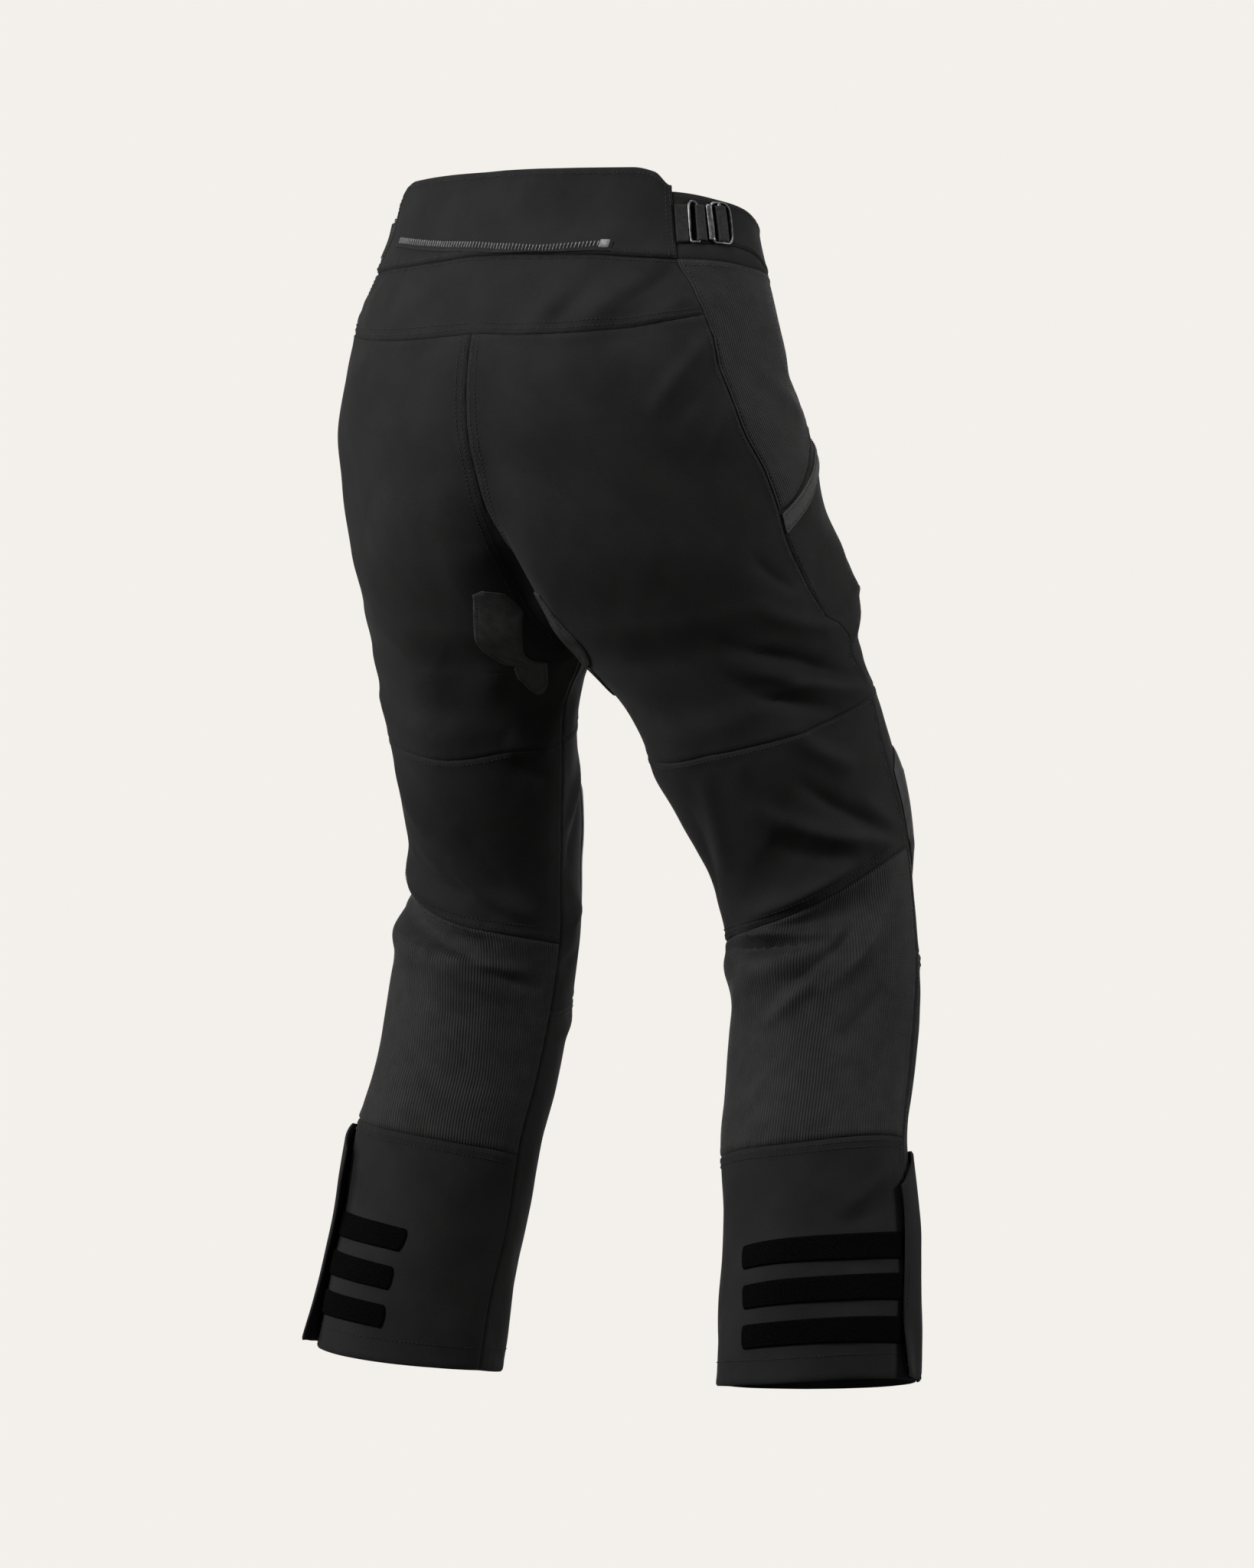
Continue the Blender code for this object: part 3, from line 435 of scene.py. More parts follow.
class Half:
    """One half garment between levels as arrays over rows and columns of a fine grid."""

    front = seam_steps(FRONT_RUN)
    hip = seam_steps(HIP_RUN)
    back = seam_steps(BACK_RUN)
    col_hip = len(front) - 1
    col_side = col_hip + len(hip) - 1
    col_back = col_side + len(back) - 1

    def __init__(self, stretches, side):
        self.side, self.at = side, {}
        shares, drops, start = [], [], 0
        for k, s in enumerate(stretches):
            steps = seam_steps(s)[(k > 0):, None]
            here = self.shares_at(np.zeros((len(steps), self.col_back + 1)))
            for _ in range(5):
                upper = curve_through(here, LEVELS[s.upper], 1)
                lower = curve_through(here, LEVELS[s.lower], 1)
                drop = upper + (lower - upper) * steps
                here = self.shares_at(drop)
            shares.append(here)
            drops.append(drop)
            self.at[s.upper] = start
            start += len(steps) - (k == 0)
            self.at[s.lower] = start
        self.share, self.drop = np.concatenate(shares), np.concatenate(drops)
        smooth = cloth_point(self.share, self.drop)
        self.normal = self.directions(self.share, self.drop)
        walk = np.cumsum(np.linalg.norm(np.diff(smooth, axis=1), axis=2), axis=1)
        self.from_front = np.concatenate([np.zeros((len(smooth), 1)), walk], axis=1)
        self.from_side = self.from_front - self.from_front[:, self.col_side:self.col_side + 1]
        self.from_back = self.from_front[:, -1:] - self.from_front
        rise = crease_height(LARGE_FOLDS, side, self.from_side, self.drop)
        extra = crease_height(CREASES, side, self.from_side, self.drop)
        extra += swell_height(side, self.from_side, self.drop)
        rise = rise + extra * bpy.context.scene.trousers_cloth.crease_strength
        rise *= np.clip(np.minimum(self.from_front, self.from_back) / SEAM_FADE, 0, 1)
        near = np.clip(1 - self.from_back / CLEFT_WIDTH, 0, 1)
        rise -= curve_through(self.drop, CLEFT, 1) * near ** 1.6
        self.point = smooth + self.normal * rise[..., None]
        self.normal = self.turned(self.point)
        if side == "R":
            self.point = self.point * (-1, 1, 1)
            self.normal = self.normal * (-1, 1, 1)

    def shares_at(self, drop):
        """Share of the way round of every column, spread between centre front, hip, side and centre back."""
        side = curve_through(drop, SIDE_SEAM, 1)
        hip = curve_through(drop, HIP_FRONT, 1)
        count = self.col_back + 1
        a, b, c = np.ones(count), np.zeros(count), np.zeros(count)
        a[:self.col_hip + 1] = self.front
        b[self.col_hip:self.col_side + 1] = self.hip
        b[self.col_side:] = 1
        c[self.col_side:] = self.back
        return hip * a + (side - hip) * b + (1 - side) * c

    def leg(self, drop):
        return np.broadcast_to((drop[:, :1] > CROTCH_DROP + 0.5), drop.shape)

    def directions(self, share, drop):
        """Outward unit direction from neighbouring points of the smooth surface."""
        step_share, step_drop = 0.004, 2.0
        leg = self.leg(drop)
        low, high = share - step_share, share + step_share
        low = np.where(leg, np.where(low < 0, low + 1, low), np.maximum(low, 0))
        high = np.where(leg, np.where(high > 1, high - 1, high), np.minimum(high, 1))
        round_it = cloth_point(high, drop) - cloth_point(low, drop)
        down = cloth_point(share, drop + step_drop) - cloth_point(share, drop - step_drop)
        normal = np.cross(down, round_it)
        centre = ~leg & ((share < 1e-6) | (share > 1 - 1e-6))
        normal[centre, 0] = 0
        return normal / np.linalg.norm(normal, axis=-1, keepdims=True)

    def turned(self, point):
        """Unit directions of the creased surface by central differences, kept smooth at the borders."""
        down, round_it = np.gradient(point, axis=0), np.gradient(point, axis=1)
        normal = np.cross(down, round_it)
        normal /= np.linalg.norm(normal, axis=-1, keepdims=True)
        edge = np.zeros(point.shape[:2], bool)
        edge[:, (0, -1)] = True
        normal[edge] = self.normal[edge]
        return normal


def crossing(lines, values):
    """Fractional index at which each increasing line of a table reaches its value."""
    i = np.clip((lines < values[:, None]).sum(axis=1) - 1, 0, lines.shape[1] - 2)
    rows = np.arange(len(lines))
    a, b = lines[rows, i], lines[rows, i + 1]
    return i + np.clip((values - a) / np.maximum(b - a, 1e-9), 0.0, 1.0)


def between(table, row, col):
    """Bilinear values of a grid at fractional rows and columns."""
    i = np.clip(np.floor(row).astype(int), 0, table.shape[0] - 2)
    j = np.clip(np.floor(col).astype(int), 0, table.shape[1] - 2)
    u, v = row - i, col - j
    if table.ndim == 3:
        u, v = u[..., None], v[..., None]
    top = table[i, j] * (1 - v) + table[i, j + 1] * v
    bottom = table[i + 1, j] * (1 - v) + table[i + 1, j + 1] * v
    return top * (1 - u) + bottom * u


class Place:
    """Finds points of a half by distance across and drop, by turns along its rows and its columns."""

    def __init__(self, half, measure="from_side"):
        self.half = half
        self.table = getattr(half, measure)
        self.flipped = self.table[0, 0] > self.table[0, -1]

    def find(self, across, drop):
        """Points and directions for arrays of distances and drops."""
        shape = np.broadcast(across, drop).shape
        across = np.broadcast_to(across, shape).ravel().astype(float)
        drop = np.broadcast_to(drop, shape).ravel().astype(float)
        table = self.table[:, ::-1] if self.flipped else self.table
        drops = self.half.drop[:, ::-1] if self.flipped else self.half.drop
        row = np.interp(drop, drops[:, drops.shape[1] // 2], np.arange(len(drops)))
        for _ in range(7):
            i = np.clip(np.floor(row).astype(int), 0, len(table) - 2)
            u = (row - i)[:, None]
            col = crossing(table[i] * (1 - u) + table[i + 1] * u, across)
            j = np.clip(np.floor(col).astype(int), 0, table.shape[1] - 2)
            v = (col - j)[:, None]
            row = crossing(drops[:, j].T * (1 - v) + drops[:, j + 1].T * v, drop)
        if self.flipped:
            col = table.shape[1] - 1 - col
        point = between(self.half.point, row, col)
        normal = between(self.half.normal, row, col)
        normal /= np.linalg.norm(normal, axis=-1, keepdims=True)
        return point.reshape(*shape, 3), normal.reshape(*shape, 3)


def new_mesh(name, vertices, faces):
    """A smooth shaded mesh from an array of vertices in metres and a list of faces."""
    mesh = bpy.data.meshes.new(name)
    mesh.from_pydata(vertices.tolist(), [], faces)
    mesh.shade_smooth()
    mesh.update()
    return mesh


def cells_at(mask):
    """How many masked cells touch each grid point."""
    near = np.pad(mask, 1).astype(int)
    return near[:-1, :-1] + near[1:, :-1] + near[:-1, 1:] + near[1:, 1:]


def border_of(mask):
    """The grid points on the border of the masked cells."""
    count = cells_at(mask)
    return (count > 0) & (count < 4)


def whole(point):
    """A mask of all cells of a grid."""
    return np.ones((point.shape[0] - 1, point.shape[1] - 1), bool)


def grid_steps(rows, cols):
    """Fractions from 0 to 1 down the rows and across the columns of a grid."""
    return np.linspace(0, 1, rows)[:, None], np.linspace(0, 1, cols)[None]


def edge_distance(point, mask):
    """Distance of each grid point to the nearest border of the masked cells, passed from point to point."""
    distance = np.where(border_of(mask), 0.0, FAR_FROM_EDGE)
    step_down = np.linalg.norm(np.diff(point, axis=0), axis=2)
    step_over = np.linalg.norm(np.diff(point, axis=1), axis=2)
    for _ in range(7):
        distance[1:] = np.minimum(distance[1:], distance[:-1] + step_down)
        distance[:-1] = np.minimum(distance[:-1], distance[1:] + step_down)
        distance[:, 1:] = np.minimum(distance[:, 1:], distance[:, :-1] + step_over)
        distance[:, :-1] = np.minimum(distance[:, :-1], distance[:, 1:] + step_over)
    return distance


def drawn_in(point, mask, amount):
    """Border points moved by amount towards the middle of the masked cells that touch them."""
    middle = (point[:-1, :-1] + point[1:, :-1] + point[:-1, 1:] + point[1:, 1:]) / 4 * mask[..., None]
    total = np.zeros_like(point)
    early, late = slice(0, -1), slice(1, None)
    for rows, cols in ((early, early), (late, early), (early, late), (late, late)):
        total[rows, cols] += middle
    inward = total / np.maximum(cells_at(mask), 1)[..., None] - point
    length = np.maximum(np.linalg.norm(inward, axis=2, keepdims=True), 1e-6)
    return np.where(border_of(mask)[..., None], point + inward / length * amount, point)


def wall_mesh(name, point, normal, across, drop, mask, low, high, flip):
    """A closed wall over the masked cells, between low and high above the points, with distances as UV."""
    near = np.pad(mask, 1)
    used = cells_at(mask) > 0
    total = int(used.sum())
    index = np.full(used.shape, -1)
    index[used] = np.arange(total)
    outer = (point + normal * np.broadcast_to(high, used.shape)[..., None])[used]
    inner = (point + normal * np.broadcast_to(low, used.shape)[..., None])[used]
    quads = np.stack([index[:-1, :-1], index[1:, :-1], index[1:, 1:], index[:-1, 1:]], -1)
    neighbours = (near[1:-1, :-2], near[2:, 1:-1], near[1:-1, 2:], near[:-2, 1:-1])
    top = quads[mask]
    rim = []
    for k, neighbour in enumerate(neighbours):
        open_edge = mask & ~neighbour
        p, q = quads[..., k][open_edge], quads[..., (k + 1) % 4][open_edge]
        rim.append(np.stack([q, p, p + total, q + total], -1))
    faces = np.concatenate([top, top[:, ::-1] + total, *rim])
    if flip:
        faces = faces[:, ::-1]
    mesh = new_mesh(name, np.concatenate([outer, inner]) * MM, faces.tolist())
    layer = mesh.uv_layers.new(name="cloth")
    flat = np.stack([across[used], drop[used]], -1) * MM
    flat = np.concatenate([flat, flat])
    layer.data.foreach_set("uv", flat[faces.ravel()].astype(np.float32).ravel())
    mesh.set_sharp_from_angle(angle=SHARP_ANGLE)
    mesh.update()
    return mesh


def link(name, mesh, kind, node=None):
    """A piece in the scene that rides on the trousers, with its finish and the node it stands for."""
    mat, slot = finish_of(kind)
    obj = bpy.data.objects.new(name, mesh)
    obj.data.materials.append(mat)
    bpy.context.scene.collection.objects.link(obj)
    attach(obj, "root")
    if node:
        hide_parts(node)
    return obj


def sheet_of(obj, point, mask):
    """Works out the width and length of a cloth piece's cut, measured along its grid."""
    step_over = np.linalg.norm(np.diff(point, axis=1), axis=2)
    step_down = np.linalg.norm(np.diff(point, axis=0), axis=2)
    wide = (step_over[:-1] * mask).sum(axis=1).max() * MM
    long = (step_down[:, :-1] * mask).sum(axis=0).max() * MM
    wide, long = max(round(float(wide), 3), 0.01), max(round(float(long), 3), 0.01)


def panel(name, point, normal, across, drop, mask, kind, node, flip=False, raised=0.0, thick=CLOTH,
          dip=SEAM_DIP):
    """A cut piece of cloth: its edges dip into the seam, with a turned edge beside it and slight puckers."""
    distance = edge_distance(point, mask)
    rise = raised - dip * np.exp(-(distance / SEAM_DIP_WIDTH) ** 2)
    rise += SEAM_EDGE_RISE * np.clip(distance / 1.6, 0, 1) * np.clip((SEAM_EDGE_WIDTH - distance) / 1.5, 0, 1)
    wave = np.sin(2 * np.pi * across / PUCKER_LENGTH) + np.sin(2 * np.pi * drop / (PUCKER_LENGTH * 1.3) + 1)
    rise += PUCKER * wave * np.exp(-(distance / PUCKER_REACH) ** 2) * np.clip(distance / 2, 0, 1)
    point = drawn_in(point, mask, SEAM_GAP)
    mesh = wall_mesh(name, point, normal, across, drop, mask, raised - thick - INNER_SLACK, rise, flip)
    sheet_of(link(name, mesh, kind, node), point, mask)


def pad_on(name, place, across, drop, height, thick, kind, node=None, flip=False, edge=1.0, rough=0.0,
           stitched=0.0, crown=0.0):
    """A flat piece sewn on the cloth: a grid from distances and drops, raised off it with rounded edges.

    stitched presses a line into it that far inside the edge, crown lifts its middle, and rough shakes its
    pile with a fixed seed.
    """
    point, normal = place.find(across, drop)
    mask = whole(point)
    distance = edge_distance(point, mask)
    inside = np.clip(distance / edge, 0, 1)
    shape = np.sqrt(inside * (2 - inside))
    top = height + thick * (0.45 + 0.55 * shape)
    if stitched:
        top -= 0.35 * np.exp(-((distance - stitched) / 0.7) ** 2)
    if crown:
        top += crown * np.clip((distance - stitched) / 18, 0, 1) ** 0.7
    if rough:
        top += np.random.default_rng(7).normal(0, rough, top.shape) * shape
    shape = top.shape
    mesh = wall_mesh(name, point, normal, np.broadcast_to(across, shape), np.broadcast_to(drop, shape), mask,
                     height, top, flip)
    obj = link(name, mesh, kind, node)
    sheet_of(obj, point, mask)
    return obj


def ring_mesh(name, rings, closed=False):
    """Tubes over rings of points, as an array of tube, ring, point and x, y, z in metres.

    The ends of an open tube are closed by a face; a closed one runs on from its last ring to its first.
    """
    tubes, count, sides = rings.shape[:3]
    k = np.arange(count if closed else count - 1)[:, None]
    j = np.arange(sides)[None]
    n, m = (k + 1) % count, (j + 1) % sides
    corners = (k * sides + j, k * sides + m, n * sides + m, n * sides + j)
    quads = np.stack(np.broadcast_arrays(*corners), -1).reshape(-1, 4)
    first = np.arange(tubes)[:, None] * count * sides
    faces = (quads[None] + first[..., None]).reshape(-1, 4).tolist()
    if not closed:
        faces += (first + j[:, ::-1]).tolist() + (first + (count - 1) * sides + j).tolist()
    return new_mesh(name, rings.reshape(-1, 3), faces)


def turned_mesh(name, profile, centre, axis, first, second, sides):
    """A profile of radius and height carried round an axis; first and second lie across the axis."""
    angle = np.linspace(0, 2 * np.pi, sides, endpoint=False)[None, :, None]
    radius, height = profile[:, None, :1], profile[:, None, 1:]
    ring = centre + axis * height + first * radius * np.cos(angle) + second * radius * np.sin(angle)
    return ring_mesh(name, ring[None])


def outward(mesh):
    """Turns a closed mesh right side out when its volume comes out negative."""
    mesh.calc_loop_triangles()
    corner = np.zeros(len(mesh.loop_triangles) * 3, np.int32)
    mesh.loop_triangles.foreach_get("vertices", corner)
    place = np.zeros(len(mesh.vertices) * 3, np.float32)
    mesh.vertices.foreach_get("co", place)
    a, b, c = (place.reshape(-1, 3)[corner.reshape(-1, 3)[:, i]] for i in range(3))
    if float((a * np.cross(b, c)).sum()) < 0:
        mesh.flip_normals()
    return mesh


def joined(name, meshes):
    """One mesh from several, in order."""
    vertices, faces, start = [], [], 0
    for m in meshes:
        place = np.zeros(len(m.vertices) * 3)
        m.vertices.foreach_get("co", place)
        vertices.append(place.reshape(-1, 3))
        faces += [[v + start for v in p.vertices] for p in m.polygons]
        start += len(m.vertices)
        bpy.data.meshes.remove(m)
    return new_mesh(name, np.concatenate(vertices), faces)


def stitch_mesh(name, runs):
    """Stitches along runs of surface points and directions: short threads that arch over the cloth.

    A run is resampled at the stitch pitch. A stitch has five rings of four points, highest in the middle.
    """
    sewing = bpy.context.scene.trousers_sewing
    pitch, long, thread = sewing.stitch_pitch / MM, sewing.stitch_length / MM, sewing.thread_width / MM / 2
    stitches = []
    for point, normal in runs:
        walk = np.concatenate([[0], np.cumsum(np.linalg.norm(np.diff(point, axis=0), axis=1))])
        at = np.arange(1.0, walk[-1] - long, pitch)
        places = ((at, point), (at + long, point), (at + long / 2, normal))
        stitches.append([np.stack([np.interp(x, walk, v[:, k]) for k in range(3)], -1) for x, v in places])
    a, b, n = (np.concatenate(values) for values in zip(*stitches))
    n /= np.linalg.norm(n, axis=1, keepdims=True)
    along = (b - a) / np.linalg.norm(b - a, axis=1, keepdims=True)
    over = np.cross(n, along)
    t = np.array([0.0, 0.2, 0.5, 0.8, 1.0])
    lift = thread * np.array([-0.6, 0.6, 0.9, 0.6, -0.6])
    size = thread * np.array([0.5, 0.95, 1.0, 0.95, 0.5])
    angle = np.arange(4) * np.pi / 2 + np.pi / 4
    middle = a[:, None] + (b - a)[:, None] * t[None, :, None] + n[:, None] * lift[None, :, None]
    ring = (middle[:, :, None]
            + over[:, None, None] * (size[None, :, None] * np.cos(angle))[..., None]
            + n[:, None, None] * (size[None, :, None] * np.sin(angle))[..., None])
    return outward(ring_mesh(name, ring * MM))


def add_node(tree, kind, links=(), **settings):
    """A shader node with its settings and the sockets that feed it, as (input, socket or value)."""
    node = tree.nodes.new(kind)
    for key, value in settings.items():
        setattr(node, key, value)
    for socket, source in links:
        if isinstance(source, bpy.types.NodeSocket):
            tree.links.new(source, node.inputs[socket])
        else:
            node.inputs[socket].default_value = source
    return node


def new_material(name, roughness, specular, metallic=0.0, sheen=0.0):
    """An empty Principled material and its tree and shader."""
    mat = bpy.data.materials.new(name)
    mat.use_nodes = True
    tree = mat.node_tree
    shader = tree.nodes["Principled BSDF"]
    shader.inputs["Roughness"].default_value = roughness
    shader.inputs["Specular IOR Level"].default_value = specular
    shader.inputs["Metallic"].default_value = metallic
    shader.inputs["Sheen Weight"].default_value = sheen
    shader.inputs["Sheen Roughness"].default_value = 0.45
    return mat, tree, shader


def mottled(tree, dark, light, vector, scale, low=0.35, high=0.65):
    """A colour that wanders between two tones with noise at a scale in cells for each metre."""
    noise = add_node(tree, "ShaderNodeTexNoise", [("Vector", vector), ("Scale", scale), ("Detail", 4.0)])
    spread = add_node(tree, "ShaderNodeMapRange", [("Value", noise.outputs["Fac"]), ("From Min", low),
                                                   ("From Max", high)])
    return add_node(tree, "ShaderNodeMix", [("Factor", spread.outputs["Result"]), (6, dark), (7, light)],
                    data_type="RGBA").outputs[2]


def bands(tree, vector, pitch, direction):
    """Ridges of a pitch in metres along one direction of the cloth, between 0 and 1."""
    wave_period = 2 * math.pi / 20
    if direction == "DIAGONAL":
        wave_period *= 2
    return add_node(tree, "ShaderNodeTexWave", [("Vector", vector), ("Scale", wave_period / pitch),
                                                ("Distortion", 0.0)],
                    wave_type="BANDS", bands_direction=direction).outputs["Fac"]


def bumped(tree, shader, heights):
    """Bump from pairs of a height and its distance in metres, chained onto the shader."""
    previous = None
    for height, distance in heights:
        links = [("Height", height), ("Distance", distance), ("Strength", 1.0)]
        if previous:
            links.append(("Normal", previous))
        previous = add_node(tree, "ShaderNodeBump", links).outputs["Normal"]
    tree.links.new(previous, shader.inputs["Normal"])


def cloth_vector(tree):
    """The flat distances of the cloth, in metres."""
    return add_node(tree, "ShaderNodeTexCoord").outputs["UV"]


def mottled_base(tree, shader, dark, light, vector, scale):
    """A base colour that wanders between two hex colours."""
    tree.links.new(mottled(tree, linear(dark), linear(light), vector, scale), shader.inputs["Base Color"])


def plain_cloth_material():
    """Polyamide stretch softshell, woven in a fine twill: a matt black, greyer in patches."""
    look = bpy.context.scene.trousers_cloth
    mat, tree, shader = new_material("woven polyamide softshell", 0.82, 0.16, sheen=0.03)
    uv = cloth_vector(tree)
    dark, light = linear(look.cloth_dark), linear(look.cloth_light)
    tone = mottled(tree, dark, light, uv, 26.0, 0.3, 0.7)
    speck = add_node(tree, "ShaderNodeTexNoise", [("Vector", uv), ("Scale", 900.0), ("Detail", 2.0)])
    fine = mottled(tree, dark, light, uv, 700.0)
    mixed = add_node(tree, "ShaderNodeMix", [("Factor", 0.35), (6, tone), (7, fine)], data_type="RGBA")
    tree.links.new(mixed.outputs[2], shader.inputs["Base Color"])
    # The twill's real pitch of 0.5 mm is drawn at 1.1 mm so that it shows
    twill = bands(tree, uv, 0.0011, "DIAGONAL")
    bumped(tree, shader, [(twill, 0.00005), (speck.outputs["Fac"], 0.00012)])
    return mat


def stretch_material():
    """Ribbed warp-knitted stretch: upright wales 2.5 mm apart, their colour painted lighter on each crest as
    a highlight and darker between them as shade.
    """
    look = bpy.context.scene.trousers_cloth
    mat, tree, shader = new_material("ribbed stretch knit", 0.68, 0.24, sheen=0.05)
    uv = cloth_vector(tree)
    wales = bands(tree, uv, 0.0025, "X")
    loops = bands(tree, uv, 0.0016, "Y")
    # Painted highlight and shade: the wales' bands lighten the colour on each rib crest and darken it between
    # the ribs
    tone = add_node(tree, "ShaderNodeMix", [("Factor", wales), (6, linear(look.stretch_valley_shade)),
                                            (7, linear(look.stretch_crest_highlight))], data_type="RGBA")
    patchy = mottled(tree, linear("#8a8a8a"), linear("#ffffff"), uv, 60.0)
    tinted = add_node(tree, "ShaderNodeMix", [("Factor", 0.6), (6, tone.outputs[2]), (7, patchy)],
                      data_type="RGBA", blend_type="MULTIPLY")
    tree.links.new(tinted.outputs[2], shader.inputs["Base Color"])
    bumped(tree, shader, [(wales, 0.0004), (loops, 0.00012)])
    return mat


def patch_material():
    """Split-grained polyurethane on cloth: smooth, with a soft satin and a fine pebble."""
    mat, tree, shader = new_material("coated reinforcing cloth", 0.58, 0.3)
    uv = cloth_vector(tree)
    mottled_base(tree, shader, "#2c2c2c", "#3a3a3a", uv, 120.0)
    pebble = add_node(tree, "ShaderNodeTexVoronoi", [("Vector", uv), ("Scale", 900.0)])
    bumped(tree, shader, [(pebble.outputs["Distance"], 0.00012)])
    return mat


def tape_material(name, code_dark, code_light, pitch, shine=1.0):
    """Narrow woven tape: close cross ribs and a dull face."""
    mat, tree, shader = new_material(name, 0.7, 0.25 * shine, sheen=0.04 * shine)
    uv = cloth_vector(tree)
    mottled_base(tree, shader, code_dark, code_light, uv, 300.0)
    across, along = bands(tree, uv, pitch, "X"), bands(tree, uv, pitch * 1.5, "Y")
    bumped(tree, shader, [(across, 0.00012), (along, 0.0001)])
    return mat


def pile_material():
    """Loop pile of a hook and loop fastener: a deep black fuzz that hardly shines."""
    mat, tree, shader = new_material("loop pile", 0.98, 0.03)
    uv = cloth_vector(tree)
    mottled_base(tree, shader, "#030303", "#0b0b0b", uv, 700.0)
    fuzz = add_node(tree, "ShaderNodeTexNoise", [("Vector", uv), ("Scale", 1100.0), ("Detail", 3.0)])
    bumped(tree, shader, [(fuzz.outputs["Fac"], 0.0006)])
    return mat


def metal_material():
    """Die-cast zinc with a gunmetal plate: dark, satin and a little brighter where it is rubbed."""
    look = bpy.context.scene.trousers_fittings
    mat, tree, shader = new_material("gunmetal plated zinc", 0.36, 0.5, metallic=1.0)
    where = add_node(tree, "ShaderNodeTexCoord").outputs["Object"]
    mottled_base(tree, shader, look.metal_dark, look.metal_light, where, 220.0)
    grain = add_node(tree, "ShaderNodeTexNoise", [("Vector", where), ("Scale", 1500.0)])
    bumped(tree, shader, [(grain.outputs["Fac"], 0.00003)])
    return mat


def moulded_material():
    """Moulded acetal zip teeth: dark grey with a dull gloss."""
    mat, tree, shader = new_material("moulded zip teeth", 0.38, 0.5)
    where = add_node(tree, "ShaderNodeTexCoord").outputs["Object"]
    mottled_base(tree, shader, "#6a6a6a", "#8a8a8a", where, 400.0)
    return mat


def thread_material():
    """Bonded polyester thread: black with a slight lustre."""
    mat, tree, shader = new_material("bonded thread", 0.5, 0.35)
    where = add_node(tree, "ShaderNodeTexCoord").outputs["Object"]
    look = bpy.context.scene.trousers_sewing
    mottled_base(tree, shader, look.thread_dark, look.thread_light, where, 500.0)
    return mat


MATERIAL_MAKERS = {
    "plain": plain_cloth_material,
    "stretch": stretch_material,
    "patch": patch_material,
    "tape": lambda: tape_material("woven binding tape", "#3a3a3a", "#464646", 0.0009),
    "zip_tape": lambda: tape_material("woven zip tape", "#0c0c0c", "#161616", 0.0009),
    "pile": pile_material,
    "webbing": lambda: tape_material("woven webbing", "#161616", "#242424", 0.0014),
    # The webbing's lower layer is real, but its near black colour without shine is painted shade where the
    # bars and the strap above it shade it
    "under": lambda: tape_material("woven webbing in shade", "#020202", "#060606", 0.0014, shine=0.05),
    "metal": metal_material,
    "moulded": moulded_material,
    "thread": thread_material,
}
SLOTS = {
    "plain": "plain_cloth",
    "stretch": "stretch_mesh",
    "patch": "patch_cloth",
    "tape": "tape",
    "zip_tape": "tape",
    "pile": "hook_pile",
    "webbing": "webbing",
    "under": "webbing",
    "metal": "gunmetal",
    "moulded": "zip_plastic",
    "thread": "plain_cloth",
}
made = {}


def finish_of(kind):
    """The material of a kind and its slot, made once."""
    key = ("material", kind)
    if key not in made:
        made[key] = MATERIAL_MAKERS[kind]()
    return made[key], SLOTS[kind]


def half_of(rows_name, side):
    """A half garment by name, made once."""
    rows = {"body": BODY_ROWS, "back_band": BACK_BAND_ROWS, "front_band": FRONT_BAND_ROWS}[rows_name]
    key = (rows_name, side)
    if key not in made:
        made[key] = Half(rows, side)
    return made[key]


def both_backs(rows_name):
    """Points, directions, distances and drops of both back parts as one grid, from the left side seam."""
    left, right = half_of(rows_name, "L"), half_of(rows_name, "R")

    def both(a, b):
        return np.concatenate([a[:, left.col_side:], b[:, :left.col_side - 1:-1][:, 1:]], axis=1)

    arrays = [both(getattr(left, name), getattr(right, name)) for name in ("point", "normal")]
    return (*arrays, both(left.from_back, -right.from_back), both(left.drop, right.drop))


class BothSides:
    """Finds points on both halves by signed distance from the centre back or front, left positive."""

    def __init__(self, rows_name, measure):
        self.left = Place(half_of(rows_name, "L"), measure)
        self.right = Place(half_of(rows_name, "R"), measure)

    def find(self, across, drop):
        shape = np.broadcast(across, drop).shape
        across = np.broadcast_to(across, shape)
        drop = np.broadcast_to(drop, shape)
        p1, n1 = self.left.find(np.maximum(across, 0), drop)
        p2, n2 = self.right.find(np.maximum(-across, 0), drop)
        left = (across >= 0)[..., None]
        return np.where(left, p1, p2), np.where(left, n1, n2)


def bounded(top, bottom, rows, cols):
    """Grid of distances and drops between a top and a bottom edge, each as its places and their drops."""
    t, u = grid_steps(rows, cols)
    across = top[0][0] + (top[0][-1] - top[0][0]) * u
    upper, lower = np.interp(across, *top), np.interp(across, *bottom)
    return np.broadcast_to(across, (rows, cols)), upper + (lower - upper) * t


class ClothSettings(bpy.types.PropertyGroup):
    crease_strength: bpy.props.FloatProperty(
        name="Creases", description="Height of the smaller creases", default=1.6, min=0.0, max=3.0,
        subtype="FACTOR")
    cloth_dark: bpy.props.StringProperty(
        name="Cloth dark", description="Darker tone of the plain cloth", default="#161616")
    cloth_light: bpy.props.StringProperty(
        name="Cloth light", description="Lighter tone of the plain cloth", default="#212121")
    # Painted shade in the rib valleys and painted highlight on the rib crests of the stretch knit
    stretch_valley_shade: bpy.props.StringProperty(
        name="Rib valley", description="Tone between the ribs", default="#111111")
    stretch_crest_highlight: bpy.props.StringProperty(
        name="Rib crest", description="Tone on the ribs", default="#292929")


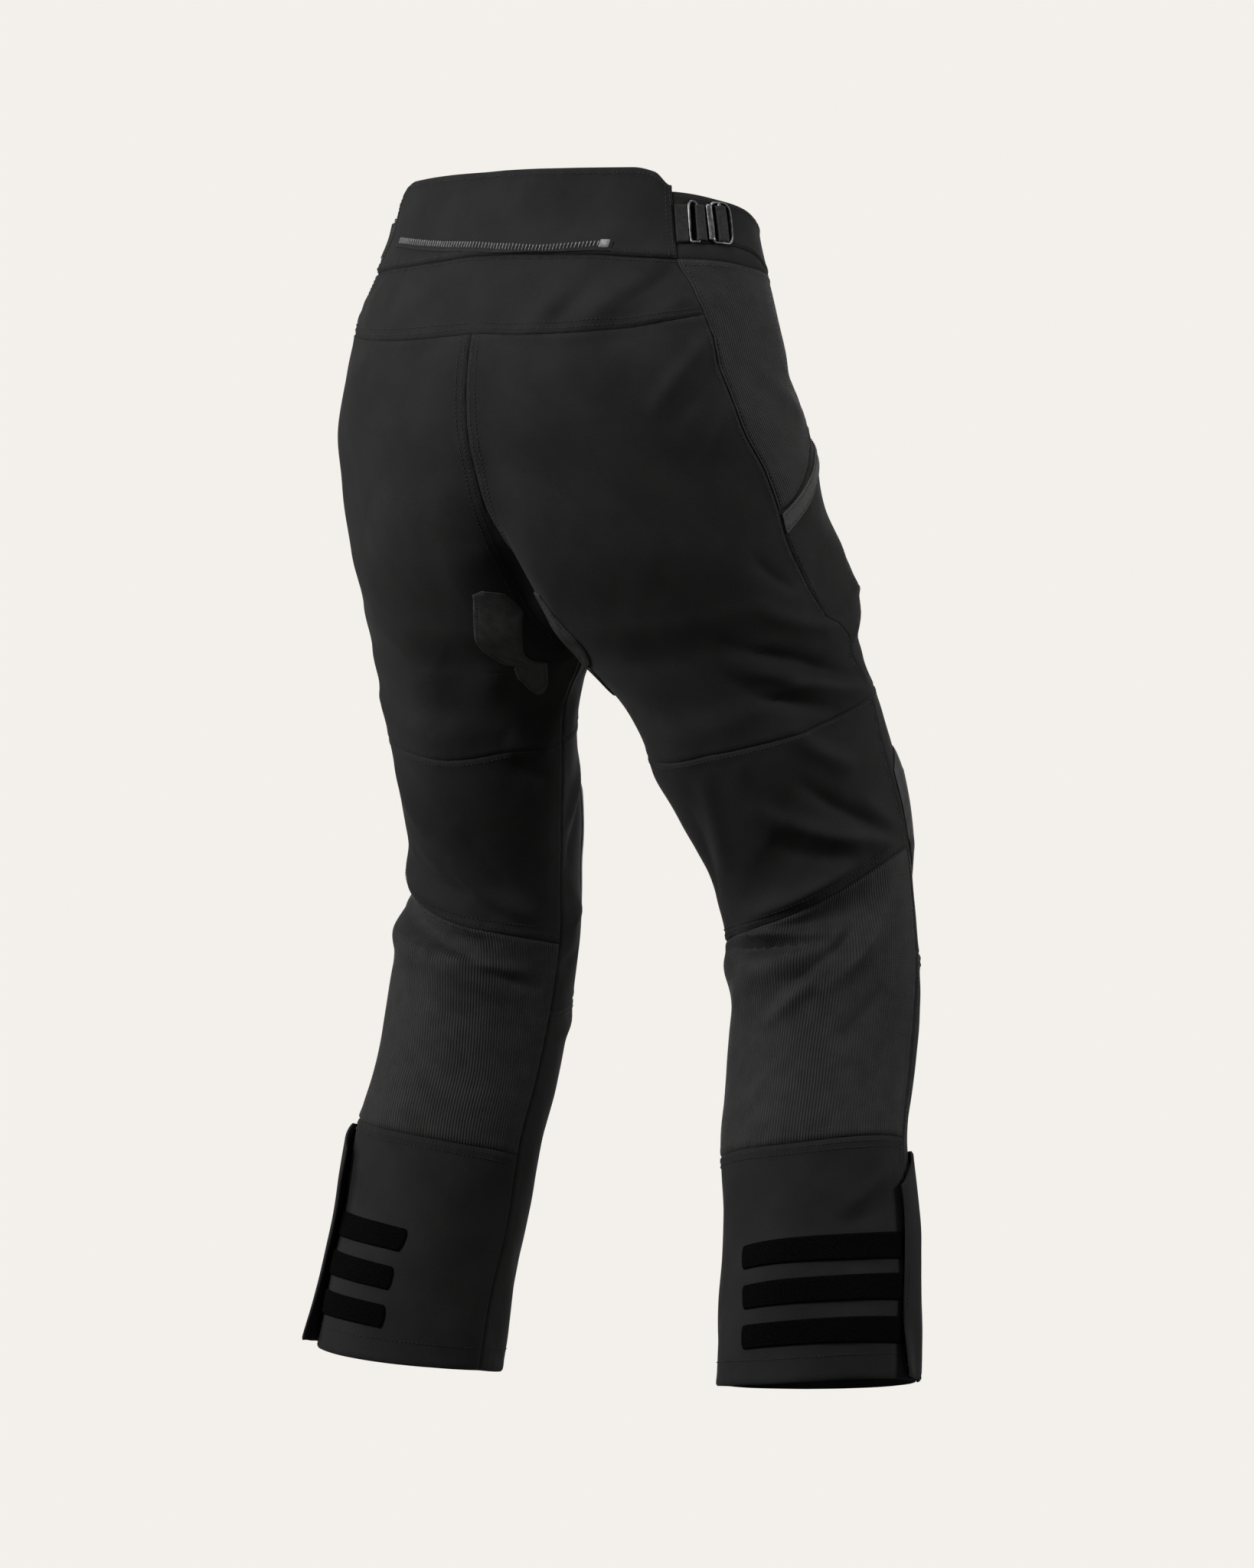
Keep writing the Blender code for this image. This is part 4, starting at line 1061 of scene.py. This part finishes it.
class SewingSettings(bpy.types.PropertyGroup):
    stitch_pitch: bpy.props.FloatProperty(
        name="Stitch pitch", description="From one stitch to the next", default=0.0036, min=0.002,
        unit="LENGTH")
    stitch_length: bpy.props.FloatProperty(
        name="Stitch length", description="Length of thread that shows", default=0.0026, min=0.001,
        unit="LENGTH")
    thread_width: bpy.props.FloatProperty(
        name="Thread", description="Width of the thread", default=0.0006, min=0.0002, unit="LENGTH")
    row_gap: bpy.props.FloatProperty(
        name="Row gap", description="Between two rows of a double seam", default=0.005, min=0.002,
        unit="LENGTH")
    thread_dark: bpy.props.StringProperty(
        name="Thread dark", description="Darker thread tone", default="#141414")
    thread_light: bpy.props.StringProperty(
        name="Thread light", description="Lighter thread tone", default="#2c2c2c")


class FittingSettings(bpy.types.PropertyGroup):
    metal_dark: bpy.props.StringProperty(
        name="Metal dark", description="Plate in the hollows", default="#6c6c6e")
    metal_light: bpy.props.StringProperty(
        name="Metal light", description="Plate where it is rubbed", default="#939396")


class StageSettings(bpy.types.PropertyGroup):
    backdrop: bpy.props.StringProperty(
        name="Backdrop", description="Floor and backdrop colour", default="#f3f0eb")
    azimuth: bpy.props.FloatProperty(
        name="Azimuth", description="Camera angle round the trousers", default=math.radians(212),
        subtype="ANGLE")
    distance: bpy.props.FloatProperty(
        name="Distance", description="Camera to trousers", default=4.9, unit="LENGTH")
    aim_height: bpy.props.FloatProperty(
        name="Aim height", description="Height the camera looks at", default=-0.462, unit="LENGTH")
    aim_side: bpy.props.FloatProperty(
        name="Aim side", description="How far right of the middle it looks", default=0.042, unit="LENGTH")
    lens: bpy.props.FloatProperty(
        name="Lens", description="Focal length in millimetres", default=135.0)
    floor_height: bpy.props.FloatProperty(
        name="Floor", description="Height of the floor", default=-1.03, unit="LENGTH")


class TROUSERS_OT_panels(bpy.types.Operator):
    """Cut pieces of the body and the legs"""

    bl_idname = "trousers.panels"
    bl_label = "Panels"

    def execute(self, context):
        for side, word in SIDES.items():
            half = half_of("body", side)
            at = half.at
            front, hips = (0, half.col_hip), (half.col_hip, half.col_side)
            rear, ahead = (half.col_side, half.col_back), (0, half.col_side)
            pieces = {
                "side_strip": ("plain", [(("belt", "top"), hips)]),
                "front_panel": ("plain", [(("belt", "pocket"), front), (("pocket", "thigh"), ahead)]),
                "hip_panel": ("stretch", [(("top", "pocket"), hips)]),
                "seat_panel": ("plain", [(("yoke", "thigh"), rear)]),
                "thigh_back": ("plain", [(("thigh", "knee"), rear)]),
                "calf_back": ("stretch", [(("knee", "calf"), rear)]),
                "hem_back": ("plain", [(("calf", "hem"), rear)]),
                "knee_panel": ("plain", [(("thigh", "shin"), ahead)]),
                "shin_panel": ("plain", [(("shin", "hem"), ahead)]),
            }
            for name, (kind, blocks) in pieces.items():
                mask = ~whole(half.point)
                for (upper, lower), cols in blocks:
                    mask[at[upper]:at[lower], cols[0]:cols[1]] = True
                panel(f"{name}_cloth_{word}", half.point, half.normal, half.from_side, half.drop, mask, kind,
                      f"{name}_{word}", side == "R")
        grids = both_backs("body")
        at = half_of("body", "L").at
        mask = ~whole(grids[0])
        mask[at["top"]:at["yoke"]] = True
        panel("back_yoke_cloth", *grids, mask, "plain", "back_yoke")
        return {"FINISHED"}


class TROUSERS_OT_bands(bpy.types.Operator):
    """Back and front waistbands, closing tab and fly placket"""

    bl_idname = "trousers.bands"
    bl_label = "Waistbands"

    def execute(self, context):
        grids = both_backs("back_band")
        panel("back_waistband_cloth", *grids, whole(grids[0]), "plain", "back_waistband", raised=BAND_PROUD,
              thick=BAND_CLOTH, dip=BAND_DIP)
        for side, word in SIDES.items():
            half = half_of("front_band", side)
            mask = whole(half.point)
            mask[:, half.col_side:] = False
            panel(f"front_waistband_cloth_{word}", half.point, half.normal, half.from_side, half.drop, mask,
                  "plain", f"front_waistband_{word}", side == "R", FRONT_BAND_PROUD, FRONT_BAND_CLOTH)
        body = Place(half_of("body", "L"), "from_front")
        pad_on("fly_placket_cloth", body, *bounded(FLY_TOP, FLY_BOTTOM, 90, 24), LIFT, PATCH_CLOTH, "plain",
               "fly_placket", stitched=3.0)
        self.tab()
        return {"FINISHED"}

    def tab(self):
        """The closing tab crosses the centre front; its pointed end is rounded."""
        t, u = grid_steps(22, 44)
        across = TAB_LEFT - (TAB_LEFT + TAB_RIGHT) * u
        past = (-TAB_ROUND_FROM - across) / 12.5
        reach = np.where(across < -TAB_ROUND_FROM, 8 + 6 * np.sqrt(np.clip(1 - past ** 2, 0.02, 1)), 14.0)
        drop = TAB_DROP + reach * (2 * t - 1)
        across = np.broadcast_to(across, drop.shape)
        point, normal = BothSides("front_band", "from_front").find(across, drop)
        mask = whole(point)
        distance = edge_distance(point, mask)
        low = FRONT_BAND_PROUD + LIFT
        top = low + CLOTH * (0.6 + 0.4 * np.clip(distance / 1.2, 0, 1))
        top -= 0.3 * np.exp(-(distance - 3) ** 2 / 0.5)
        mesh = outward(wall_mesh("waist_tab_cloth", point, normal, across, drop, mask, low, top, False))
        sheet_of(link("waist_tab_cloth", mesh, "plain", "waist_tab"), point, mask)


class TROUSERS_OT_patches(bpy.types.Operator):
    """Inner leg patches, pocket tapes and knee patches"""

    bl_idname = "trousers.patches"
    bl_label = "Patches and tapes"

    def execute(self, context):
        for side, word in SIDES.items():
            half = half_of("body", side)
            flip = side == "R"
            drops, near, far = (np.array(c, float) for c in zip(*INNER_PATCH))
            t, u = grid_steps(70, 30)
            drop = drops[0] + (drops[-1] - drops[0]) * t
            near, far = np.interp(drop, drops, near), np.interp(drop, drops, far)
            across = far + (near - far) * u
            drop = np.broadcast_to(drop, across.shape)
            pad_on(f"inner_patch_cloth_{word}", Place(half, "from_back"), across, drop, LIFT, PATCH_CLOTH,
                   "patch", f"inner_patch_{word}", flip, stitched=3.0)
            place = Place(half)
            ends, drops = TAPE_TOP
            tape_bottom = (ends, [d + POCKET_TAPE for d in drops])
            pad_on(f"pocket_tape_cloth_{word}", place, *bounded(TAPE_TOP, tape_bottom, 10, 64), LIFT,
                   TAPE_CLOTH, "tape", f"pocket_tape_{word}", flip, stitched=2.5)
            knee = bounded(KNEE_PATCH_TOP, KNEE_PATCH_BOTTOM, 46, 60)
            pad_on(f"knee_patch_cloth_{word}", place, *knee, LIFT, PATCH_CLOTH, "patch",
                   f"knee_patch_{word}", flip, stitched=3.5, crown=2.5)
        return {"FINISHED"}


class TROUSERS_OT_hems(bpy.types.Operator):
    """Hook and loop strips and the flaps that close over them"""

    bl_idname = "trousers.hems"
    bl_label = "Hem closures"

    def execute(self, context):
        for side, word in SIDES.items():
            place = Place(half_of("body", side))
            for k, drops in enumerate(STRIP_DROPS, 1):
                self.strip(place, f"hook_strip_{k}", word, drops)
            self.flap(place, side, word)
        return {"FINISHED"}

    def strip(self, place, name, word, drops):
        """A strip of pile that tapers towards its rounded inner end, between the drops of its top edge."""
        outer_end, inner_end = drops
        t, u = grid_steps(22, 150)
        end = 1 - np.exp(-(1 - u) * 60) * np.abs(2 * t - 1) ** 3
        across = STRIP_LENGTH * u * np.where(u > 0.9, 0.985 + 0.015 * end, 1)
        drop = outer_end + (inner_end - outer_end) * u + (STRIP_HEIGHT + STRIP_TAPER * (1 - u)) * t
        pad_on(f"{name}_pile_{word}", place, across, drop, LIFT, PILE, "pile", f"{name}_{word}",
               word == "right", edge=1.2, rough=PILE_ROUGH)

    def flap(self, place, side, word):
        """The flap: flat at its seam, over the strips from there, and bent away along its free edge."""
        top = FLAP_TOPS[side]
        start, reach = top[0][0], top[0][-1]
        across, drop = bounded(top, FLAP_BOTTOM, 90, FLAP_COLUMNS[side])
        over_strips = (PILE + LIFT + 0.5) * np.clip((across - start) / 30, 0, 1)
        away = 4.0 * np.clip((across - 15) / 65, 0, 1)
        free = np.clip((across - reach + FLAP_FREE) / FLAP_FREE, 0, 1)
        bent = free * (4.0 * np.clip((drop - 860) / 90, 0, 1) ** 2 + 1.2 * np.sin(drop / 21) + 1)
        stand_off = np.maximum(LIFT + over_strips + away + bent, LIFT)
        pad_on(f"hem_flap_cloth_{word}", place, across, drop, stand_off, CLOTH + 0.6, "plain",
               f"hem_flap_{word}", side == "R", edge=1.4, stitched=4.0)


class TROUSERS_OT_adjusters(bpy.types.Operator):
    """Webbing, ladder rings and wide buckles on both sides of the waist"""

    bl_idname = "trousers.adjusters"
    bl_label = "Side adjusters"

    def execute(self, context):
        for side, word in SIDES.items():
            place = Place(half_of("front_band", side))
            t, u = grid_steps(30, 18)
            drop = WEBBING_TOP + WEBBING_WIDTH * t + 0 * u
            for strap in STRAPS:
                across = strap.start + (strap.end - strap.start) * u + 0 * t
                arch = strap.height + strap.sag * (2 * u - 1) ** 2 + 0 * t
                pad_on(f"{strap.name}_webbing_{word}", place, across, drop, arch, WEBBING, "webbing",
                       f"{strap.name}_{word}", side == "R", edge=0.8)
            self.under_layer(place, side, word)
            self.metal(place, f"ladder_ring_metal_{word}", f"ladder_ring_{word}", LADDER_RING)
            self.metal(place, f"wide_buckle_metal_{word}", f"wide_buckle_{word}", WIDE_BUCKLE, BUCKLE_BAR,
                       BUCKLE_PLATE)
        return {"FINISHED"}

    def under_layer(self, place, side, word):
        """The webbing's lower layer, coloured near black as painted shade so that it shows dark between the
        bars.
        """
        t, u = grid_steps(12, 40)
        start, end = UNDER_LAYER
        across = start + (end - start) * u + 0 * t
        drop = WEBBING_TOP + 0.6 + (WEBBING_WIDTH - 1.2) * t + 0 * u
        pad_on(f"strap_under_webbing_{word}", place, across, drop, FRONT_BAND_PROUD + 0.1, 0.7, "under",
               flip=side == "R", edge=0.3)

    def metal(self, place, name, node, ends, cross=None, plate=None):
        """A frame bent from flat bar with cut corners, with a cross bar and a wide end plate where given."""
        x0, x1 = ends
        y0, y1 = WEBBING_TOP - 3, WEBBING_TOP + WEBBING_WIDTH + 1.6
        base = FRONT_BAND_PROUD + LIFT
        cut = min(4.5, (x1 - x0) * 0.3)
        corners = np.array([(x0 + cut, y0), (x1 - cut, y0), (x1, y0 + cut), (x1, y1 - cut), (x1 - cut, y1),
                            (x0 + cut, y1), (x0, y1 - cut), (x0, y0 + cut)], float)
        t = np.linspace(0, 1, 12, endpoint=False)[None, :, None]
        following = np.roll(corners, -1, axis=0)
        path = (corners[:, None] * (1 - t) + following[:, None] * t).reshape(-1, 2)
        for _ in range(CORNER_ROUNDS):
            path = path / 2 + (np.roll(path, 1, axis=0) + np.roll(path, -1, axis=0)) / 4
        half = BUCKLE_METAL / 2
        parts = [self.bar(place, path, base + half, 0.95, half, True)]
        if cross is not None:
            line = np.stack([np.full(20, cross), np.linspace(y0, y1, 20)], -1)
            parts.append(self.bar(place, line, base + half, 1.4, half - 0.1, False))
        if plate is not None:
            line = np.stack([np.full(24, plate), np.linspace(y0 + 2.5, y1 - 2.5, 24)], -1)
            parts.append(self.bar(place, line, base + half + 0.5, 3.0, half + 0.5, False))
        link(name, joined(name, parts), "metal", node)

    def bar(self, place, path, height, half_wide, half_high, closed):
        """A bar of oval section along a path of distances and drops, at a height above the band."""
        point, normal = place.find(path[:, 0], path[:, 1])
        centre = point + normal * height
        along = np.gradient(centre, axis=0)
        if closed:
            along = np.roll(centre, -1, axis=0) - np.roll(centre, 1, axis=0)
        along /= np.linalg.norm(along, axis=1, keepdims=True)
        beside = np.cross(normal, along)
        beside /= np.linalg.norm(beside, axis=1, keepdims=True)
        angle = np.arange(BAR_SIDES) * 2 * np.pi / BAR_SIDES
        ring = (centre[:, None] + beside[:, None] * (np.cos(angle) * half_wide)[None, :, None]
                + normal[:, None] * (np.sin(angle) * half_high)[None, :, None])
        return outward(ring_mesh("bar", ring[None] * MM, closed))


class TROUSERS_OT_fastenings(bpy.types.Operator):
    """Back connecting zip with its teeth and end box, and the snap on the closing tab"""

    bl_idname = "trousers.fastenings"
    bl_label = "Zip and snap"

    def execute(self, context):
        place = BothSides("back_band", "from_back")
        t, u = grid_steps(10, 140)
        across = ZIP_LEFT - (ZIP_LEFT + ZIP_RIGHT) * u
        top = curve_through(across, ZIP_SAG, 1)
        drop = top + (curve_through(across, ZIP_SAG, 2) - top) * t
        base = BAND_PROUD + LIFT
        tape = pad_on("zip_tape_cloth", place, across, drop, base, TAPE_CLOTH, "zip_tape", "zip_tape", True,
                      edge=0.6)
        outward(tape.data)
        self.teeth(place, base + TAPE_CLOTH)
        self.end_box(place, base + TAPE_CLOTH)
        self.snap()
        return {"FINISHED"}

    def teeth(self, place, height):
        """One row of moulded teeth: each a rounded block with a head, by arrays over the pitch."""
        at = np.arange(-ZIP_RIGHT + 11, ZIP_LEFT - 7, TOOTH_PITCH)
        line = curve_through(at, ZIP_SAG, 1) + 0.4
        point, normal = place.find(at, line)
        below, _ = place.find(at, line + 5)
        down = (below - point) / np.linalg.norm(below - point, axis=1, keepdims=True)
        side = np.cross(normal, down)
        angle = (np.arange(8) * np.pi / 4 + np.pi / 8)[:, None]
        rows = np.array(TOOTH_ROWS)[None, :, None]
        centre = point[:, None, None] + normal[:, None, None] * (height + 0.5)
        along, half_wide = down[:, None, None] * rows[..., :1], rows[..., 1:]
        ring = (centre + along + side[:, None, None] * (half_wide * np.cos(angle))
                + normal[:, None, None] * (TOOTH_HALF_HIGH * np.sin(angle)))
        mesh = ring_mesh("zip_teeth", ring * MM)
        mesh.set_sharp_from_angle(angle=SHARP_ANGLE)
        link("zip_teeth", outward(mesh), "moulded")

    def end_box(self, place, height):
        """The box at the zip's right end, a block with rounded corners."""
        t, u = grid_steps(16, 16)
        across = -ZIP_RIGHT + 2.5 + 7.5 * u + 0 * t
        drop = 23.6 + 6.8 * t + 0 * u
        point, normal = place.find(across, drop)
        mask = whole(point)
        top = height + 0.3 + 2.0 * np.sqrt(np.clip(edge_distance(point, mask) / 1.4, 0.05, 1))
        mesh = wall_mesh("zip_end_box_moulded", point, normal, across, drop, mask, height + 0.2, top, True)
        link("zip_end_box_moulded", outward(mesh), "moulded", "zip_end_box")

    def snap(self):
        """A turned snap cap: a profile of radius and height carried round its axis."""
        low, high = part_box("waist_snap")
        place = Place(half_of("front_band", "R"), "from_front")
        _, normal = place.find(np.array([SNAP_PLACE]), np.array([TAB_DROP]))
        axis = np.array([normal[0, 0], normal[0, 1], 0])
        axis /= np.linalg.norm(axis)
        side = np.cross(UP, axis)
        profile = np.array(SNAP_PROFILE) * MM
        mesh = turned_mesh("waist_snap_metal", profile, np.array((low + high) / 2), axis, side, UP, 48)
        link("waist_snap_metal", outward(mesh), "metal", "waist_snap")


# Topstitching. A line along a level runs between two columns of the grid, and lies inset below it or,
# if negative, above it. A line down a seam runs between two levels, inset behind or ahead of a column.
LevelLine = namedtuple("LevelLine", "level start end inset rows")
LEVEL_LINES = [
    LevelLine("top", "side", "back", 4.0, 1),
    LevelLine("top", "hip", "side", 4.0, 1),
    LevelLine("yoke", "side", "back", -4.0, 2),
    LevelLine("thigh", "side", "back", 4.0, 1),
    LevelLine("knee", "side", "back", -4.0, 2),
    LevelLine("calf", "side", "back", 4.0, 2),
    LevelLine("hem", "side", "back", -20.0, 1),
    LevelLine("hem", "front", "side", -20.0, 1),
    LevelLine("thigh", "front", "side", 4.0, 1),
    LevelLine("shin", "front", "side", 4.0, 2),
]
SeamLine = namedtuple("SeamLine", "upper lower column inset rows")
SEAM_LINES = [
    SeamLine("yoke", "thigh", "side", 4.0, 1),
    SeamLine("thigh", "knee", "side", 4.0, 1),
    SeamLine("calf", "hem", "side", 5.0, 1),
    SeamLine("top", "pocket", "side", -4.0, 1),
    SeamLine("knee", "calf", "side", -4.0, 1),
    SeamLine("pocket", "crotch", "side", -4.0, 1),
    SeamLine("top", "pocket", "hip", -4.0, 1),
    SeamLine("yoke", "crotch", "back", -4.0, 2),
    SeamLine("belt", "crotch", "front", 4.0, 1),
]
# Outlines of stitching on the knee patch, the fly and the flap: distances and drops of their corners
KNEE_STITCHES = [(-174, 486), (-156, 477), (-32, 478), (-12, 486), (-12, 528), (-33, 551), (-62, 577),
                 (-120, 591), (-148, 587), (-174, 573), (-174, 486)]
FLY_STITCHES = [(34, 60), (34, 188), (20, 209), (2, 217)]
FLAP_STITCHES = [(11, 801), (11, 870), (11, 946)]
TAPE_STITCHES = [(-149, 172.5), (-83, 203), (-3, 237.5)]


class TROUSERS_OT_stitching(bpy.types.Operator):
    """Topstitching along the seams, hems and sewn-on pieces"""

    bl_idname = "trousers.stitching"
    bl_label = "Stitching"

    def execute(self, context):
        gap = context.scene.trousers_sewing.row_gap / MM
        for side, word in SIDES.items():
            half = half_of("body", side)
            column = {"front": 0, "hip": half.col_hip, "side": half.col_side, "back": half.col_back}
            runs = []
            for line in LEVEL_LINES:
                ends = column[line.start], column[line.end]
                for inset in self.insets(line, gap):
                    runs.append(self.along_level(half, line.level, *ends, inset))
            for line in SEAM_LINES:
                for inset in self.insets(line, gap):
                    runs.append(self.down_seam(half, line.upper, line.lower, column[line.column], inset))
            runs += self.sewn_on(half)
            link(f"stitching_{word}", stitch_mesh(f"stitching_{word}", runs), "thread")
        link("stitching_waist", stitch_mesh("stitching_waist", self.waist()), "thread")
        return {"FINISHED"}

    def insets(self, line, gap):
        """The inset of each row of a line, the further rows each a gap further in."""
        return [line.inset + math.copysign(k * gap, line.inset) for k in range(line.rows)]

    def along_level(self, half, level, start, end, inset, height=0.0):
        """A run along a level at a drop beside it, at a height over the cloth."""
        row = half.at[level]
        cols = np.arange(start, end + 1)
        steps = np.linalg.norm(np.diff(half.point[:, (start + end) // 2], axis=0), axis=1)
        walk = np.cumsum(np.concatenate([[0], steps]))
        at = np.full(len(cols), np.interp(walk[row] + inset, walk, np.arange(len(walk))))
        return self.laid(half, at, cols.astype(float), height, slice(1, -1))

    def down_seam(self, half, upper, lower, col, inset, height=0.0):
        """A run down a column of the grid at a distance beside it, at a height over the cloth."""
        rows = np.arange(half.at[upper] + 1, half.at[lower])
        table = half.from_front[rows]
        where = crossing(table, table[:, col] + inset)
        return self.laid(half, rows.astype(float), where, height, slice(None))

    def laid(self, half, row, col, height, part):
        """Points just over the cloth at fractional rows and columns, and their directions."""
        point, normal = between(half.point, row, col)[part], between(half.normal, row, col)[part]
        return point + normal * (height + STITCH_LIFT), normal

    def sewn_on(self, half):
        """Runs inside the edges of the patches and tapes and along the flap's edge."""
        place, rear = Place(half), Place(half, "from_back")
        on_patch = LIFT + PATCH_CLOTH - 0.3
        down = [(e.far - 3, e.drop) for e in INNER_PATCH[1:-2]]
        up = [(e.near + 3, e.drop) for e in INNER_PATCH[-3:1:-1]]
        runs = [self.round_outline(rear, down + up + down[:1], on_patch),
                self.round_outline(place, KNEE_STITCHES, on_patch)]
        for edge in (2.5, POCKET_TAPE - 2.5):
            line = [(x, drop + edge) for x, drop in TAPE_STITCHES]
            runs.append(self.round_outline(place, line, LIFT + TAPE_CLOTH))
        runs.append(self.round_outline(place, FLAP_STITCHES, LIFT + PILE + CLOTH + 1.6))
        return runs

    def round_outline(self, place, corners, height):
        """A run along straight stretches between corners, every 3 mm."""
        outline = np.array(corners, float)
        steps = np.maximum(np.linalg.norm(np.diff(outline, axis=0), axis=1) / 3, 1).astype(int)
        path = np.concatenate([np.linspace(a, b, n, endpoint=False)
                               for a, b, n in zip(outline[:-1], outline[1:], steps)] + [outline[-1:]])
        point, normal = place.find(path[:, 0], path[:, 1])
        return point + normal * height, normal

    def waist(self):
        """Runs along the edges of the bands and up the ends of the back band."""
        runs = []
        for side in SIDES:
            back, front = half_of("back_band", side), half_of("front_band", side)
            for level, inset in (("back_top", 5.0), ("top", -3.0)):
                runs.append(self.along_level(back, level, back.col_side, back.col_back, inset, BAND_PROUD))
            for inset in (3.0, 7.0):
                runs.append(self.down_seam(back, "back_top", "top", back.col_side, inset, BAND_PROUD))
            for level, inset in (("front_top", 4.0), ("belt", -3.0)):
                runs.append(self.along_level(front, level, 0, front.col_side, inset, FRONT_BAND_PROUD))
        body = Place(half_of("body", "L"), "from_front")
        runs.append(self.round_outline(body, FLY_STITCHES, LIFT + PATCH_CLOTH - 0.2))
        return runs


# Lights of the stage: metres to the right of, above and before the aim as seen by the camera
Lamp = namedtuple("Lamp", "name right up toward size power")
LIGHTS = [
    Lamp("key", -1.8, 1.3, 1.6, 0.9, 64),
    Lamp("rim_right", 2.3, 0.7, 0.1, 0.9, 25),
    Lamp("rim_left", -2.3, 0.3, -0.7, 1.2, 16),
    Lamp("front_fill", 0.9, 0.1, 3.4, 2.4, 8),
    Lamp("top", 0.1, 2.4, 0.3, 1.2, 18),
    Lamp("far_fill", 0.2, 0.5, -3.2, 2.6, 40),
]
AMBIENT = 0.14


class TROUSERS_OT_stage(bpy.types.Operator):
    """Pale floor and backdrop, soft lights and the camera"""

    bl_idname = "trousers.stage"
    bl_label = "Stage"

    def execute(self, context):
        stage = context.scene.trousers_stage
        self.backdrop(stage)
        right = np.array([math.cos(stage.azimuth), math.sin(stage.azimuth), 0])
        toward = np.array([math.sin(stage.azimuth), -math.cos(stage.azimuth), 0])
        aim = right * stage.aim_side + UP * stage.aim_height
        data = bpy.data.cameras.new("camera")
        data.lens = stage.lens
        data.sensor_width = 36
        camera = bpy.data.objects.new("camera", data)
        camera.location = tuple(aim + toward * stage.distance)
        camera.rotation_euler = (math.pi / 2, 0, stage.azimuth)
        context.scene.collection.objects.link(camera)
        context.scene.camera = camera
        for lamp in LIGHTS:
            light = bpy.data.lights.new(lamp.name, "AREA")
            light.size, light.energy = lamp.size, lamp.power
            obj = bpy.data.objects.new(lamp.name, light)
            step = right * lamp.right + UP * lamp.up + toward * lamp.toward
            obj.location = tuple(aim + step)
            obj.rotation_euler = (0, math.acos(step[2] / np.linalg.norm(step)), math.atan2(step[1], step[0]))
            context.scene.collection.objects.link(obj)
        world = bpy.data.worlds.new("studio")
        context.scene.world = world
        world.use_nodes = True
        background = world.node_tree.nodes["Background"]
        background.inputs["Color"].default_value = linear(stage.backdrop)
        background.inputs["Strength"].default_value = AMBIENT
        context.scene.view_settings.view_transform = "Standard"
        return {"FINISHED"}

    def backdrop(self, stage):
        """Floor, sweep and dome in one: a profile of radius and height carried round the upright axis."""
        sweep = [(8 + 3 * math.sin(a), 3 - 3 * math.cos(a)) for a in np.linspace(0, math.pi / 2, 12)]
        dome = [(11 * math.cos(a), 3 + 8 * math.sin(a)) for a in np.linspace(0.1, math.pi / 2, 14)[:-1]]
        profile = np.array([(0.001, 0), (1, 0), (2, 0), (4, 0), (6, 0), *sweep, *dome, (0.001, 11)])
        right, back = np.array([1.0, 0, 0]), np.array([0, 1.0, 0])
        mesh = turned_mesh("studio_floor", profile, UP * stage.floor_height, UP, right, back, 96)
        mat = bpy.data.materials.new("pale painted backdrop")
        mat.use_nodes = True
        tree = mat.node_tree
        tree.nodes.remove(tree.nodes["Principled BSDF"])
        colour = linear(stage.backdrop)
        glow = add_node(tree, "ShaderNodeEmission", [("Color", colour), ("Strength", 1.0)])
        tree.links.new(glow.outputs[0], tree.nodes["Material Output"].inputs["Surface"])
        mesh.materials.append(mat)
        obj = bpy.data.objects.new("studio_floor", mesh)
        obj.visible_diffuse = obj.visible_glossy = obj.visible_shadow = False
        bpy.context.scene.collection.objects.link(obj)


OPERATORS = (
    TROUSERS_OT_panels,
    TROUSERS_OT_bands,
    TROUSERS_OT_patches,
    TROUSERS_OT_hems,
    TROUSERS_OT_adjusters,
    TROUSERS_OT_fastenings,
    TROUSERS_OT_stitching,
    TROUSERS_OT_stage,
)
SETTINGS = {
    "trousers_cloth": ClothSettings,
    "trousers_sewing": SewingSettings,
    "trousers_fittings": FittingSettings,
    "trousers_stage": StageSettings,
}


class TROUSERS_PT_build(bpy.types.Panel):
    """Sizes, colours and building steps of the trousers"""

    bl_label = "Trousers"
    bl_idname = "TROUSERS_PT_build"
    bl_space_type = "VIEW_3D"
    bl_region_type = "UI"
    bl_category = "Trousers"

    def draw(self, context):
        for name, group in SETTINGS.items():
            box = self.layout.box()
            for prop in group.__annotations__:
                box.prop(getattr(context.scene, name), prop)
        for operator in OPERATORS:
            self.layout.operator(operator.bl_idname)


def register():
    for group in SETTINGS.values():
        bpy.utils.register_class(group)
    for name, group in SETTINGS.items():
        setattr(bpy.types.Scene, name, bpy.props.PointerProperty(type=group))
    for operator in OPERATORS:
        bpy.utils.register_class(operator)
    bpy.utils.register_class(TROUSERS_PT_build)


def unregister():
    bpy.utils.unregister_class(TROUSERS_PT_build)
    for operator in reversed(OPERATORS):
        bpy.utils.unregister_class(operator)
    for name, group in SETTINGS.items():
        delattr(bpy.types.Scene, name)
        bpy.utils.unregister_class(group)


def main():
    register()
    for operator in OPERATORS:
        group, name = operator.bl_idname.split(".")
        getattr(getattr(bpy.ops, group), name)()


if __name__ == "__main__":
    main()
